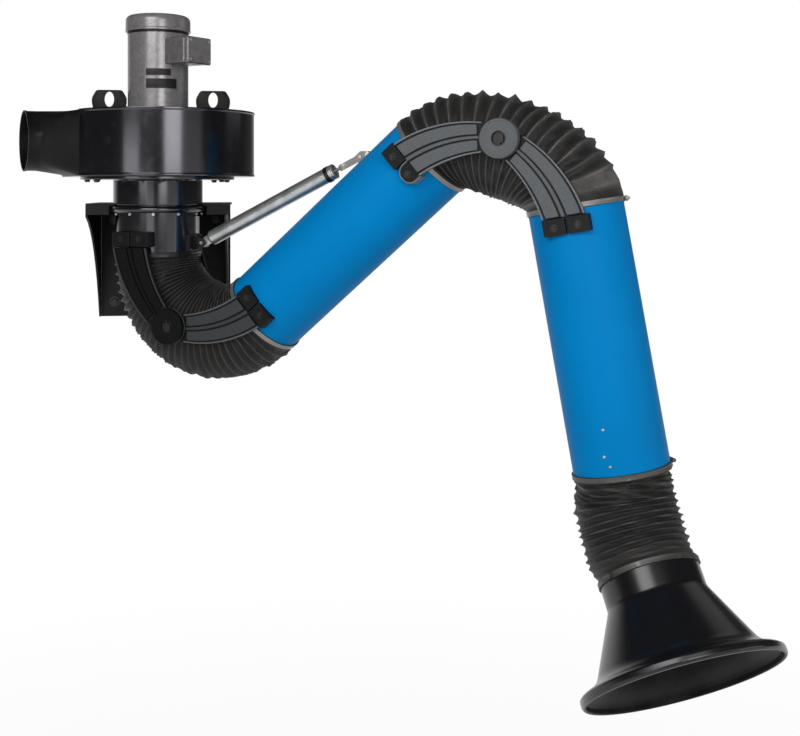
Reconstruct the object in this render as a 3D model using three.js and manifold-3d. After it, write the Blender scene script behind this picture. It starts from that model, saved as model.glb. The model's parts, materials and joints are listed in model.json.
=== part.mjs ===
// Wall-mounted fume extraction arm: a blower and motor on a wall bracket, and below
// them a swivelling arm of two tubes with outside links, pleated hoses and a flared hood.
// Millimetres, +Z up. The origin is the centre of the wall plate's back face, wall at y = 0.

import * as THREE from 'three';
import { ParametricGeometry } from 'three/addons/geometries/ParametricGeometry.js';
import { mergeVertices } from 'three/addons/utils/BufferGeometryUtils.js';
import Module from 'manifold-3d';

const wasm = await Module();
wasm.setup();

// Fits and facets
const GAP = 0.3;
const SIDES = 32;
const SMALL_SIDES = 12;

// Wall bracket
const PLATE_WIDTH = 340;
const PLATE_HEIGHT = 298;
const PLATE_THICK = 6;
const ANCHOR_RADIUS = 7;
const ANCHOR_SPACING = [270, 220];
const SHELF_WIDTH = 348;
const SHELF_THICK = 5;
const LIP_HEIGHT = 28;
const GUSSET_THICK = 5;
const GUSSET_INSET = 4;
const GUSSET_SWEEP = [100, 70];
const SWIVEL_CLEARANCE = 6;
const AXIS_OUT = 280;

// Level that every height below is measured from, above the origin
const DATUM_Z = 187;

// Blower housing and outlet, in the fan's own frame: outlet towards -x, wall side +y
const FAN_TURN = 18.9;
const HOUSING = [33, 190];
const SHEET = 2.5;
const COVER_SHEET = 3;
const SCROLL_RADIUS_LEFT = 204;
const SCROLL_GROWTH = 32;
const SCROLL_RADIUS_MOST = 253;
const SCROLL_SPAN = [197, 498];
const SCROLL_STEPS = 28;
const THROAT_X = -200;
const THROAT_Y = [-53.5, 155.8];
const OUTLET_X = -306;
const OUTLET_Y = 80;
const OUTLET_LEVEL = 118;
const OUTLET_COLLAR = 28;
const OUTLET_RADIUS = 72;
const INLET_RADIUS = 95;
const BELL_RADIUS = 92;
const BELL_TAPER = 2;
const BELL_WALL = 3;
const BELL_TOP = 60;
const FLANGE_RADIUS = 185;
const FLANGE_THICK = 7.7;

// Lifting lugs on the blower: distance from the axis, plate size and oval hole
const LUG_PLACES = { lug_left: -117, lug_right: 133 };
const LUG_WIDTH = 83;
const LUG_TOP_WIDTH = 61;
const LUG_FOOT_WIDTH = 73;
const LUG_HEIGHT = 54;
const LUG_SIDES = [21.6, 35.1];
const LUG_THICK = 8;
const LUG_HOLE = [11.5, 18.5];
const LUG_HOLE_LEVEL = 31.3;

// Motor
const MOTOR_RADIUS = 73;
const MOTOR_TOP = 390;
const COVER_RADIUS = 78;
const COVER_LOW = 385;
const COVER_TOP = 425;
const COVER_WALL = 4;
const COVER_HUB = 20;
const COVER_CEILING = [20, 16];
const COVER_CROWN = [[0, 18], [3, 9], [11, 3], [26, 0]];
const TERMINAL_TURN = -40.5;
const TERMINAL_SIZE = [67, 82, 64];
const TERMINAL_LOW = 301;
const TERMINAL_SUNK = 2;
const LABEL_THICK = 1.2;
const LABELS = {
  motor_label_upper: { arc: [-108, -62], levels: [275, 291] },
  motor_label_lower: { arc: [-108, -50], levels: [244, 267] },
};
const SHAFT_RADIUS = 9.5;
const SHAFT_SPAN = [112, 330];
const SHAFT_BORE = 11;
const SHAFT_HOLE = 13.5;

// Impeller
const WHEEL_RADIUS = 150;
const WHEEL_LEVELS = [66, 172];
const WHEEL_EYE = 98;
const WHEEL_SIDES = 24;
const BACK_PLATE = 4;
const SHROUD = 3;
const HUB_RADIUS = 20;
const HUB_LENGTH = 50;
const BLADES = 8;
const BLADE_LEAN = 35;
const BLADE_LENGTH = 56;
const BLADE_THICK = 3;
const BLADE_PLACE = 122;

// Neck and swivel
const NECK_RADIUS = 107.5;
const NECK_LOW = -36;
const SPIGOT_RADIUS = 96;
const SPIGOT_WALL = 3;
const SPIGOT_LOW = -64;
const SPIGOT_LIP = [2.2, 4];
const SWIVEL_TOP = -39;
const SWIVEL_LOW = -148;
const SWIVEL_FIT = 1.3;
const SWIVEL_RIM = [5, 7];
const COLLAR_RADIUS = 112;
const COLLAR_DROP = 22;
const COLLAR_SKIRT = 2.5;
const COLLAR_BEAD = [[-2, 13], [0, 8], [-2, 3], [-5, 0]];

// Arm tubes and links, in the arm's plane: x outwards, z up, n towards the viewer
const ARM_TURN = -29;
const TUBE_RADIUS = 101.5;
const TUBE_WALL = 2.5;
const TUBE_LENGTH = 545;
const UPPER_ANGLE = 41.2;
const LOWER_ANGLE = -79.8;
const SHOULDER = new THREE.Vector2(105, -318);
const PIVOT_ALONG = 170;
const PIVOT_ASIDE = 105;
const LINK_START = new THREE.Vector2(-12, 2);
const LINK_BOW = 18;
const LINK_WIDTH_TUBE = 90;
const LINK_WIDTH_PIVOT = 62;
const LINK_TAPER = 1.4;
const LINK_STEPS = 8;
const DISC_RADIUS = 42;
const FOOT = [-49, -12];
const FOOT_HALF = 50;
const INNER_LINK = { from: 107.5, to: 114, foot: 111 };
const OUTER_LINK = { from: 116.6, to: 127, foot: 120 };
const FRICTION_RADIUS = 38;
const BOLT_RADIUS = 6;
const BOLT_HOLE = 6.5;
const BOLT_HEAD_RADIUS = 12;
const BOLT_SUNK = 1.5;
const BOLT_REACH = [90, 140];
const BOLT_RECESS_RADIUS = 15.5;
const RECESS_FLOOR = 120;

// Pleated hoses and their clamps
const CUFF = 12;
const CUFF_WALL = 1.6;
const CLAMP_WALL = 2;
const PLEATS = 7;
const PLEAT_PEAK = 9;
const PLEAT_VALLEY = 3;
const HOOD_PLEAT_PEAK = 7;
const HOOD_PLEAT_VALLEY = 2;
const HOSE_SIDE_PEAK = 103.3;
const HOSE_SIDE_VALLEY = 100;
const HOSE_BORE = 96;
const CLAMP_MARGIN = 1;
const SHOULDER_HANDLES = { outer: 255, inner: 46 };
const ELBOW_HANDLES = { outer: 190, inner: 6 };

// Balance strut
const STRUT_FOOT = new THREE.Vector2(128, -127);
const STRUT_HEAD_ALONG = 420;
const STRUT_HEAD_ASIDE = 112;
const CLEVIS_ROUND = 12;
const CLEVIS_HALF = 20;
const CLEVIS_EARS = [5, 10];
const CLEVIS_PAD = { from: 93.5, to: 107.5, half: 26 };
const PIN_LOW_HALF = 11.5;
const PIN_TOP_HALF = 9.5;
const BARREL_RADIUS = 18;
const BARREL_BORE = 15.6;
const BARREL_SPAN = [30, 384];
const BARREL_SIDES = 20;
const BARREL_END = 4;
const BARREL_EYE = [11, 4.5];
const CAP_THICK = 5;
const CAP_SLOT = [14.6, 6];
const ROD_RADIUS = 4;
const ROD_START = 150;
const ROD_TONGUE = { half: [7, 3], length: 60, overlap: 10, eye: 8 };
const HEAD_EARS = [3.6, 8];
const HEAD_TIE = [11, 24];
const HEAD_TIE_HALF = 12;
const HEAD_TIE_TOP = 107.5;
const HEAD_SUNK = 6;
const HEAD_HEEL = -14;
const HEAD_CREST = 9;
const SPRING_SPAN = [44, 140];
const SPRING_RADIUS = 11;
const SPRING_COILS = 5;
const SPRING_WIRE = 2.2;

// Hood and its universal joint
const HOOD_JOINT_DROP = 110;
const HOOD_TILT = 16.2;
const HOOD_ROLL = 25.6;
const HOOD_NECK_DROP = 123.5;
const HOOD_NECK_RADIUS = 103;
const HOOD_WALL = 3;
const HOOD_OUTSIDE = [[103, 46], [106, 53], [164, 169], [179, 181], [199, 188], [206, 193]];
const HOOD_LIP = [[206, 205], [202, 210]];
const HOOD_INSIDE = [[198, 208], [197, 196], [177, 184], [161.3, 171], [103.3, 55], [100, 47]];
const FORK_EAR = [11.5, 16.5];
const FORK_HALF = 7.5;
const FORK_REACH = 26;
const FORK_TOE = -9;
const FORK_BASE = [23, 30];
const FORK_STEM = 7;
const FORK_UPPER_BAR = [140, 152];
const FORK_LOWER_BAR = [132, 142];
const FORK_BAR_GAP = 1.2;
const CROSS_PIN = 4;
const CROSS_PIN_REACH = 17;
const CROSS_HOLE = 4.5;
const CROSS_HEART = 8.5;
const PIN_DRILL = 40;

// Finishes
const BLACK_PAINT = { color: 0x151618, roughness: 0.3, metalness: 0.2 };
const BLUE_PAINT = { color: 0x0a78be, roughness: 0.35, metalness: 0.1 };
const GREY_PAINT = { color: 0x8b8889, roughness: 0.5, metalness: 0.2 };
const LINK_CAST = { color: 0x4c5157, roughness: 0.65, metalness: 0.2 };
const HOSE_CLOTH = { color: 0x2a2928, roughness: 0.85, metalness: 0 };
const ZINC = { color: 0x97a09c, roughness: 0.35, metalness: 0.9 };
const STEEL = { color: 0xa7a39b, roughness: 0.4, metalness: 0.9 };
const HOOD_PLASTIC = { color: 0x121214, roughness: 0.3, metalness: 0 };
const LABEL = { color: 0x1f1d1d, roughness: 0.5, metalness: 0 };
const FRICTION = { color: 0x6b5d4d, roughness: 0.9, metalness: 0 };

const rad = THREE.MathUtils.degToRad;

// Solid helpers

function signedVolume(geometry) {
  const corner = [0, 1, 2].map(() => new THREE.Vector3());
  const index = geometry.index.array;
  let sum = 0;
  for (let i = 0; i < index.length; i += 3) {
    corner.forEach((point, k) => point.fromBufferAttribute(geometry.attributes.position, index[i + k]));
    sum += corner[0].dot(corner[1].clone().cross(corner[2])) / 6;
  }
  return sum;
}

// The same surface with shared corners, no collapsed faces, and every face turned out.
function closed(source) {
  const bare = source.clone();
  bare.deleteAttribute('normal');
  bare.deleteAttribute('uv');
  bare.clearGroups();
  const merged = mergeVertices(bare, 1e-3);
  const index = merged.index.array;
  const kept = [];
  for (let i = 0; i < index.length; i += 3) {
    const [a, b, c] = [index[i], index[i + 1], index[i + 2]];
    if (a !== b && b !== c && c !== a) {
      kept.push(a, b, c);
    }
  }
  merged.setIndex(kept);
  if (signedVolume(merged) < 0) {
    merged.setIndex(kept.reverse());
  }
  return merged;
}

function toSolid(geometry) {
  const body = closed(geometry);
  return new wasm.Manifold(new wasm.Mesh({
    numProp: 3,
    vertProperties: Float32Array.from(body.attributes.position.array),
    triVerts: Uint32Array.from(body.index.array),
  }));
}

function fromSolid(body) {
  const mesh = body.getMesh();
  const geometry = new THREE.BufferGeometry();
  geometry.setAttribute('position', new THREE.BufferAttribute(mesh.vertProperties, 3));
  geometry.setIndex(Array.from(mesh.triVerts));
  return geometry;
}

function join(...shapes) {
  return fromSolid(shapes.map(toSolid).reduce((whole, next) => whole.add(next)));
}

function cut(shape, ...tools) {
  return fromSolid(tools.map(toSolid).reduce((left, tool) => left.subtract(tool), toSolid(shape)));
}

function piece(parent, name, geometry, finish) {
  const mesh = new THREE.Mesh(closed(geometry), new THREE.MeshStandardMaterial(finish));
  mesh.name = name;
  parent.add(mesh);
}

// A turned shape about z from [radius, height] points.
function turned(profile, sides = SIDES) {
  const points = profile.map(([radius, height]) => new THREE.Vector2(radius, height));
  return new THREE.LatheGeometry(points, sides).rotateX(Math.PI / 2);
}

function ring(inner, outer, low, high, sides = SIDES) {
  return turned([[inner, low], [outer, low], [outer, high], [inner, high], [inner, low]], sides);
}

function bar(radius, low, high, sides = SMALL_SIDES) {
  return turned([[0, low], [radius, low], [radius, high], [0, high]], sides);
}

function block([x0, x1], [y0, y1], [z0, z1]) {
  const box = new THREE.BoxGeometry(x1 - x0, y1 - y0, z1 - z0);
  return box.translate((x0 + x1) / 2, (y0 + y1) / 2, (z0 + z1) / 2);
}

function sheet(points, low, high, hole) {
  const shape = new THREE.Shape(points);
  if (hole) {
    shape.holes.push(hole);
  }
  const options = { depth: high - low, bevelEnabled: false, curveSegments: SIDES / 2 };
  return new THREE.ExtrudeGeometry(shape, options).translate(0, 0, low);
}

function roundHole(radius, x = 0, y = 0) {
  return new THREE.Path().absarc(x, y, radius, 0, 2 * Math.PI, true);
}

// A closed wall whose cross-sections are the given rings, taken in order and back to the first.
function lofted(rings, sides = SIDES) {
  const place = (u, v, target) => {
    const section = rings[Math.round(v * rings.length) % rings.length];
    section(2 * Math.PI * u, target);
  };
  return new ParametricGeometry(place, sides, rings.length);
}

// Arm-plane helpers: a 2D point is (outwards, up), and n is the distance towards the viewer

function heading(degrees) {
  return new THREE.Vector2(Math.cos(rad(degrees)), Math.sin(rad(degrees)));
}

function leftOf(direction) {
  return new THREE.Vector2(-direction.y, direction.x);
}

function offset(start, ...steps) {
  const move = (point, [direction, length]) => point.addScaledVector(direction, length);
  return steps.reduce(move, start.clone());
}

// Lays a shape made along z onto the line that leaves the point at the given angle.
function along(geometry, point, degrees) {
  return geometry.rotateY(rad(90 - degrees)).translate(point.x, 0, point.y);
}

function inPlane(geometry) {
  return geometry.rotateX(Math.PI / 2);
}

function crossBar(radius, point, from, to, sides = SMALL_SIDES) {
  return inPlane(bar(radius, from, to, sides)).translate(point.x, 0, point.y);
}

// Where the arm's tubes, pivots and hood lie

const upperWay = heading(UPPER_ANGLE);
const lowerWay = heading(LOWER_ANGLE);
const down = new THREE.Vector2(0, -1);
const outwards = new THREE.Vector2(1, 0);
const swivelEnd = new THREE.Vector2(0, SWIVEL_LOW);
const upperStart = offset(SHOULDER, [upperWay, PIVOT_ALONG], [leftOf(upperWay), -PIVOT_ASIDE]);
const upperEnd = offset(upperStart, [upperWay, TUBE_LENGTH]);
const ELBOW = offset(upperEnd, [upperWay, PIVOT_ALONG], [leftOf(upperWay), -PIVOT_ASIDE]);
const lowerStart = offset(ELBOW, [lowerWay, PIVOT_ALONG], [leftOf(lowerWay), PIVOT_ASIDE]);
const lowerEnd = offset(lowerStart, [lowerWay, TUBE_LENGTH]);
const hoodJoint = offset(lowerEnd, [lowerWay, HOOD_JOINT_DROP]);

// Wall bracket

function makeBracket(group) {
  const half = PLATE_HEIGHT / 2;
  const plate = block([-PLATE_WIDTH / 2, PLATE_WIDTH / 2], [-PLATE_THICK, 0], [-half, half]);
  const anchors = [];
  for (const x of [-1, 1]) {
    for (const z of [-1, 1]) {
      const hole = bar(ANCHOR_RADIUS, -PLATE_THICK, 2 * PLATE_THICK, SMALL_SIDES).rotateX(Math.PI / 2);
      anchors.push(hole.translate(x * ANCHOR_SPACING[0] / 2, 0, z * ANCHOR_SPACING[1] / 2));
    }
  }
  piece(group, 'wall_plate', cut(plate, ...anchors), BLACK_PAINT);

  const shelfLow = half + GAP;
  const width = [-SHELF_WIDTH / 2, SHELF_WIDTH / 2];
  const top = block(width, [-AXIS_OUT, 0], [shelfLow, shelfLow + SHELF_THICK]);
  const lipSpan = [shelfLow + SHELF_THICK - LIP_HEIGHT, shelfLow + 1];
  const lip = block(width, [-AXIS_OUT, SHELF_THICK - AXIS_OUT], lipSpan);
  const neckCut = bar(NECK_RADIUS + GAP, 0, 3 * half, SIDES).translate(0, -AXIS_OUT, 0);
  const collarRoom = COLLAR_RADIUS + SWIVEL_CLEARANCE;
  const collarCut = bar(collarRoom, 0, shelfLow - 1, SIDES).translate(0, -AXIS_OUT, 0);
  piece(group, 'shelf_plate', cut(join(top, lip), neckCut, collarCut), BLACK_PAINT);

  const reach = AXIS_OUT - SHELF_THICK - GAP;
  const profile = new THREE.Shape();
  profile.moveTo(PLATE_THICK + GAP, half);
  profile.lineTo(reach, half);
  profile.lineTo(reach, half - LIP_HEIGHT);
  profile.quadraticCurveTo(...GUSSET_SWEEP, 2 * PLATE_THICK, -half);
  profile.lineTo(PLATE_THICK + GAP, -half);
  const places = {
    gusset_left: width[0] + GUSSET_INSET,
    gusset_right: width[1] - GUSSET_INSET - GUSSET_THICK,
  };
  for (const [name, x] of Object.entries(places)) {
    const options = { depth: GUSSET_THICK, bevelEnabled: false, curveSegments: 8 };
    const gusset = new THREE.ExtrudeGeometry(profile, options);
    gusset.rotateX(Math.PI / 2).rotateZ(-Math.PI / 2).translate(x, 0, 0);
    piece(group, name, gusset, BLACK_PAINT);
  }
}

// Blower

function scrollRadius(degrees) {
  const spiral = SCROLL_RADIUS_LEFT + (degrees - 180) / 180 * SCROLL_GROWTH;
  return Math.min(spiral, SCROLL_RADIUS_MOST);
}

// The housing's outline, set in from the outside by the given amount, from the throat's
// front edge round the spiral to its back edge.
function scrollLine(inset) {
  const points = [new THREE.Vector2(THROAT_X, THROAT_Y[0] + inset)];
  for (let i = 0; i <= SCROLL_STEPS; i += 1) {
    const angle = THREE.MathUtils.lerp(...SCROLL_SPAN, i / SCROLL_STEPS);
    points.push(heading(angle).multiplyScalar(scrollRadius(angle) - inset));
  }
  points.push(new THREE.Vector2(THROAT_X, THROAT_Y[1] - inset));
  return points;
}

function makeBlower(group) {
  const [low, high] = HOUSING;
  const wall = [...scrollLine(0), ...scrollLine(SHEET).reverse()];
  const wallSpan = [low + COVER_SHEET + GAP, high - COVER_SHEET - GAP];
  piece(group, 'scroll_wall', sheet(wall, ...wallSpan), BLACK_PAINT);
  const topPlate = sheet(scrollLine(0), high - COVER_SHEET, high, roundHole(SHAFT_HOLE));
  piece(group, 'blower_top_plate', topPlate, BLACK_PAINT);
  const bottomPlate = sheet(scrollLine(0), low, low + COVER_SHEET, roundHole(INLET_RADIUS));
  piece(group, 'blower_bottom_plate', bottomPlate, BLACK_PAINT);

  const flangeLow = low - GAP - FLANGE_THICK;
  const narrow = BELL_RADIUS - BELL_TAPER;
  const inlet = turned([
    [narrow, flangeLow],
    [FLANGE_RADIUS, flangeLow],
    [FLANGE_RADIUS, low - GAP],
    [BELL_RADIUS, low - GAP],
    [narrow, BELL_TOP],
    [narrow - BELL_WALL, BELL_TOP],
    [narrow, flangeLow],
  ]);
  piece(group, 'inlet_ring', inlet, BLACK_PAINT);

  piece(group, 'outlet_duct', outletDuct(), BLACK_PAINT);
}

// Square at the throat, round at the mouth: each ring blends the two outlines.
function outletDuct() {
  const { lerp } = THREE.MathUtils;
  const halfWide = (THROAT_Y[1] - THROAT_Y[0]) / 2;
  const halfTall = (HOUSING[1] - HOUSING[0]) / 2;
  const section = (x, roundness, inset) => (angle, target) => {
    const [c, s] = [Math.cos(angle), Math.sin(angle)];
    const square = 1 / Math.max(Math.abs(c), Math.abs(s));
    const y = lerp((halfWide - inset) * square, OUTLET_RADIUS - inset, roundness) * c;
    const z = lerp((halfTall - inset) * square, OUTLET_RADIUS - inset, roundness) * s;
    const middleY = lerp(THROAT_Y[0] + halfWide, OUTLET_Y, roundness);
    const middleZ = lerp(HOUSING[0] + halfTall, OUTLET_LEVEL, roundness);
    target.set(x, middleY + y, middleZ + z);
  };
  const steps = [0, 0.25, 0.5, 0.75, 1];
  const sections = (inset) => steps.map((step) => {
    const x = lerp(THROAT_X - GAP, OUTLET_X + OUTLET_COLLAR, step);
    return section(x, step, inset);
  });
  const outside = [...sections(0), section(OUTLET_X, 1, 0)];
  const inside = [...sections(SHEET), section(OUTLET_X, 1, SHEET)];
  return lofted([...outside, ...inside.reverse()]);
}

function makeLugs(group) {
  const top = HOUSING[1] + GAP;
  const [foot, half, crest] = [LUG_FOOT_WIDTH / 2, LUG_WIDTH / 2, LUG_TOP_WIDTH / 2];
  const outline = [
    [-foot, 0], [foot, 0], [half, LUG_SIDES[0]], [half, LUG_SIDES[1]],
    [crest, LUG_HEIGHT], [-crest, LUG_HEIGHT], [-half, LUG_SIDES[1]], [-half, LUG_SIDES[0]],
  ].map(([x, y]) => new THREE.Vector2(x, y));
  for (const [name, x] of Object.entries(LUG_PLACES)) {
    const hole = new THREE.Path().absellipse(0, LUG_HOLE_LEVEL, ...LUG_HOLE, 0, 2 * Math.PI, true);
    const lug = sheet(outline, -LUG_THICK / 2, LUG_THICK / 2, hole);
    piece(group, name, inPlane(lug).translate(x, 0, top), BLACK_PAINT);
  }
}

// Motor and fan wheel

function makeMotor(group) {
  const foot = HOUSING[1] + GAP;
  const boreTop = SHAFT_SPAN[1] + 1;
  const motor = turned([
    [SHAFT_BORE, foot], [MOTOR_RADIUS, foot], [MOTOR_RADIUS, MOTOR_TOP], [0, MOTOR_TOP],
    [0, boreTop], [SHAFT_BORE, boreTop], [SHAFT_BORE, foot],
  ]);
  piece(group, 'motor_body', motor, GREY_PAINT);

  const lining = COVER_RADIUS - COVER_WALL;
  const cover = turned([
    [0, MOTOR_TOP + GAP], [COVER_HUB, MOTOR_TOP + GAP], [COVER_HUB, COVER_TOP - COVER_CEILING[1]],
    [lining, COVER_TOP - COVER_CEILING[0]], [lining, COVER_LOW], [COVER_RADIUS, COVER_LOW],
    ...COVER_CROWN.map(([inset, drop]) => [COVER_RADIUS - inset, COVER_TOP - drop]),
    [0, COVER_TOP],
  ]);
  piece(group, 'motor_fan_cover', cover, GREY_PAINT);

  const [deep, wide, tall] = TERMINAL_SIZE;
  const inner = MOTOR_RADIUS - TERMINAL_SUNK;
  const box = block([inner, inner + deep], [-wide / 2, wide / 2], [TERMINAL_LOW, TERMINAL_LOW + tall]);
  const clear = bar(MOTOR_RADIUS + GAP, foot, MOTOR_TOP, SIDES);
  const terminal = cut(box.rotateZ(rad(TERMINAL_TURN)), clear);
  piece(group, 'motor_terminal_box', terminal, GREY_PAINT);

  const faceOut = MOTOR_RADIUS + GAP;
  for (const [name, { arc, levels }] of Object.entries(LABELS)) {
    const [start, end] = arc.map(rad);
    const outline = new THREE.Shape();
    outline.absarc(0, 0, faceOut + LABEL_THICK, start, end, false);
    outline.absarc(0, 0, faceOut, end, start, true);
    const options = { depth: levels[1] - levels[0], bevelEnabled: false, curveSegments: 8 };
    const label = new THREE.ExtrudeGeometry(outline, options);
    piece(group, name, label.translate(0, 0, levels[0]), LABEL);
  }
}

function makeFanWheel(group) {
  const [low, high] = WHEEL_LEVELS;
  const bore = SHAFT_RADIUS + GAP;
  const hub = ring(bore, HUB_RADIUS, high - HUB_LENGTH, high, WHEEL_SIDES);
  const backPlate = ring(bore, WHEEL_RADIUS, high - BACK_PLATE, high, WHEEL_SIDES);
  const shroud = ring(WHEEL_EYE, WHEEL_RADIUS, low, low + SHROUD, WHEEL_SIDES);
  const parts = [hub, backPlate, shroud];
  const [halfLong, halfThick] = [BLADE_LENGTH / 2, BLADE_THICK / 2];
  for (let i = 0; i < BLADES; i += 1) {
    const blade = block([-halfLong, halfLong], [-halfThick, halfThick], [low + 1, high - 1]);
    blade.rotateZ(rad(BLADE_LEAN)).translate(BLADE_PLACE, 0, 0).rotateZ(i / BLADES * 2 * Math.PI);
    parts.push(blade);
  }
  piece(group, 'fan_wheel', join(...parts), STEEL);
  piece(group, 'motor_shaft', bar(SHAFT_RADIUS, ...SHAFT_SPAN), STEEL);
}

// Neck and swivel

function makeNeck(group) {
  const top = HOUSING[0] - FLANGE_THICK - 2 * GAP;
  const bore = SPIGOT_RADIUS - SPIGOT_WALL;
  const lip = SPIGOT_RADIUS + SPIGOT_LIP[0];
  const lipTop = SPIGOT_LOW + SPIGOT_LIP[1];
  const neck = turned([
    [bore, SPIGOT_LOW], [lip, SPIGOT_LOW], [lip, lipTop],
    [SPIGOT_RADIUS, lipTop], [SPIGOT_RADIUS, NECK_LOW], [NECK_RADIUS, NECK_LOW],
    [NECK_RADIUS, top], [bore, top], [bore, SPIGOT_LOW],
  ]);
  piece(group, 'neck_tube', neck, BLACK_PAINT);
}

function makeSwivel(group) {
  const bore = TUBE_RADIUS - TUBE_WALL;
  const low = SWIVEL_LOW - CUFF;
  const fit = SPIGOT_RADIUS + SWIVEL_FIT;
  const tube = turned([
    [bore, low], [TUBE_RADIUS, low], [TUBE_RADIUS, SWIVEL_TOP], [fit, SWIVEL_TOP],
    [fit, SWIVEL_TOP - SWIVEL_RIM[0]], [bore, SWIVEL_TOP - SWIVEL_RIM[1]], [bore, low],
  ]);
  piece(group, 'swivel_tube', tube, BLACK_PAINT);

  const inner = TUBE_RADIUS + GAP;
  const foot = SWIVEL_TOP - COLLAR_DROP;
  const skirt = inner + COLLAR_SKIRT;
  const collar = turned([
    [inner, foot], [skirt, foot], [skirt, foot + 6],
    ...COLLAR_BEAD.map(([grow, drop]) => [COLLAR_RADIUS + grow, SWIVEL_TOP - drop]),
    [inner, SWIVEL_TOP], [inner, foot],
  ]);
  piece(group, 'swivel_collar', collar, BLACK_PAINT);
}

// Links: each runs from a foot on its tube's end through a shallow arc to the pivot

// The outline is drawn as [along, aside] from the tube's end, narrowing towards the disc.
function linkOutline(end, way, aside) {
  const pivot = new THREE.Vector2(PIVOT_ALONG, PIVOT_ASIDE);
  const chord = pivot.clone().sub(LINK_START);
  const radius = (chord.lengthSq() / 4 + LINK_BOW ** 2) / (2 * LINK_BOW);
  const swing = 2 * Math.asin(chord.length() / 2 / radius);
  const first = chord.angle() - (Math.PI + swing) / 2;
  const spoke = (turn) => heading(THREE.MathUtils.radToDeg(first + turn));
  const centre = LINK_START.clone().addScaledVector(spoke(0), -radius);
  const halfPivot = LINK_WIDTH_PIVOT / 2;
  const lastTurn = swing - Math.sqrt(DISC_RADIUS ** 2 - halfPivot ** 2) / radius;
  const points = [new THREE.Vector2(FOOT[0], -FOOT_HALF)];
  const edge = (share, side) => {
    const half = THREE.MathUtils.lerp(LINK_WIDTH_TUBE / 2, halfPivot, share ** LINK_TAPER);
    points.push(offset(centre, [spoke(share * lastTurn), radius + side * half]));
  };
  for (let i = 0; i <= LINK_STEPS; i += 1) {
    edge(i / LINK_STEPS, 1);
  }
  const meet = Math.PI - Math.asin(halfPivot / DISC_RADIUS);
  for (let i = 1; i < 2 * LINK_STEPS; i += 1) {
    const rim = spoke(swing + Math.PI / 2 - meet + i / LINK_STEPS * meet);
    points.push(offset(pivot, [rim, DISC_RADIUS]));
  }
  for (let i = LINK_STEPS; i >= 0; i -= 1) {
    edge(i / LINK_STEPS, -1);
  }
  points.push(new THREE.Vector2(FOOT[0], FOOT_HALF));
  return points.map(({ x, y }) => offset(end, [way, x], [aside, y]));
}

function makeLink(group, name, tube, level, side) {
  const { end, way, aside, degrees } = tube;
  const pivot = offset(end, [way, PIVOT_ALONG], [aside, PIVOT_ASIDE]);
  const span = (from, to) => (side > 0 ? [from, to] : [-to, -from]);
  const arm = inPlane(sheet(linkOutline(end, way, aside), ...span(level.from, level.to)));
  const [heel, toe] = FOOT;
  const corners = [[heel, -FOOT_HALF], [toe, -FOOT_HALF], [toe, FOOT_HALF], [heel, FOOT_HALF]];
  const footing = corners.map(([a, b]) => offset(end, [way, a], [aside, b]));
  const foot = inPlane(sheet(footing, ...span(TUBE_RADIUS / 2, level.foot)));
  const thinned = inPlane(sheet(footing, ...span(level.foot, level.to + 1)));
  const core = along(bar(TUBE_RADIUS + GAP, -TUBE_LENGTH, TUBE_LENGTH, SIDES), end, degrees);
  const shank = crossBar(BOLT_HOLE, pivot, ...span(...BOLT_REACH));
  const cuts = [thinned, core, shank];
  if (level === OUTER_LINK) {
    cuts.push(crossBar(BOLT_RECESS_RADIUS, pivot, ...span(RECESS_FLOOR, BOLT_REACH[1]), SIDES / 2));
  }
  piece(group, name, cut(join(arm, foot), ...cuts), LINK_CAST);
}

// Friction disc between the two links, and the bolt that draws them together.
function makePivot(group, joint, pivot) {
  for (const [place, side] of [['front', 1], ['back', -1]]) {
    const span = (from, to) => (side > 0 ? [from, to] : [-to, -from]);
    const between = span(INNER_LINK.to + GAP, OUTER_LINK.from - GAP);
    const disc = inPlane(ring(BOLT_HOLE, FRICTION_RADIUS, ...between, 20));
    piece(group, `${joint}_friction_disc_${place}`, disc.translate(pivot.x, 0, pivot.y), FRICTION);
    const headSpan = span(RECESS_FLOOR + GAP, OUTER_LINK.to - BOLT_SUNK);
    const head = crossBar(BOLT_HEAD_RADIUS, pivot, ...headSpan, 6);
    const shank = crossBar(BOLT_RADIUS, pivot, ...span(INNER_LINK.from, RECESS_FLOOR + 1));
    piece(group, `${joint}_pivot_bolt_${place}`, join(head, shank), STEEL);
  }
}

// Hoses

function makeTube(group, name, start, degrees) {
  const tube = ring(TUBE_RADIUS - TUBE_WALL, TUBE_RADIUS, -CUFF, TUBE_LENGTH + CUFF);
  piece(group, name, along(tube, start, degrees), BLUE_PAINT);
}

function makeClamp(group, name, point, degrees) {
  const inner = TUBE_RADIUS + GAP + CUFF_WALL + GAP;
  const band = ring(inner, inner + CLAMP_WALL, CLAMP_MARGIN, CUFF - CLAMP_MARGIN);
  piece(group, name, along(band, point, degrees), STEEL);
}

// One cross-section of a bent hose, from its outer to its inner edge in the arm's plane.
function hoseRing(outer, inner, grow, halfWidth) {
  const middle = outer.clone().add(inner).multiplyScalar(0.5);
  const reach = outer.clone().sub(middle);
  reach.setLength(reach.length() + grow);
  return (angle, target) => {
    const swing = Math.cos(angle);
    target.set(middle.x + reach.x * swing, -halfWidth * Math.sin(angle), middle.y + reach.y * swing);
  };
}

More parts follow.
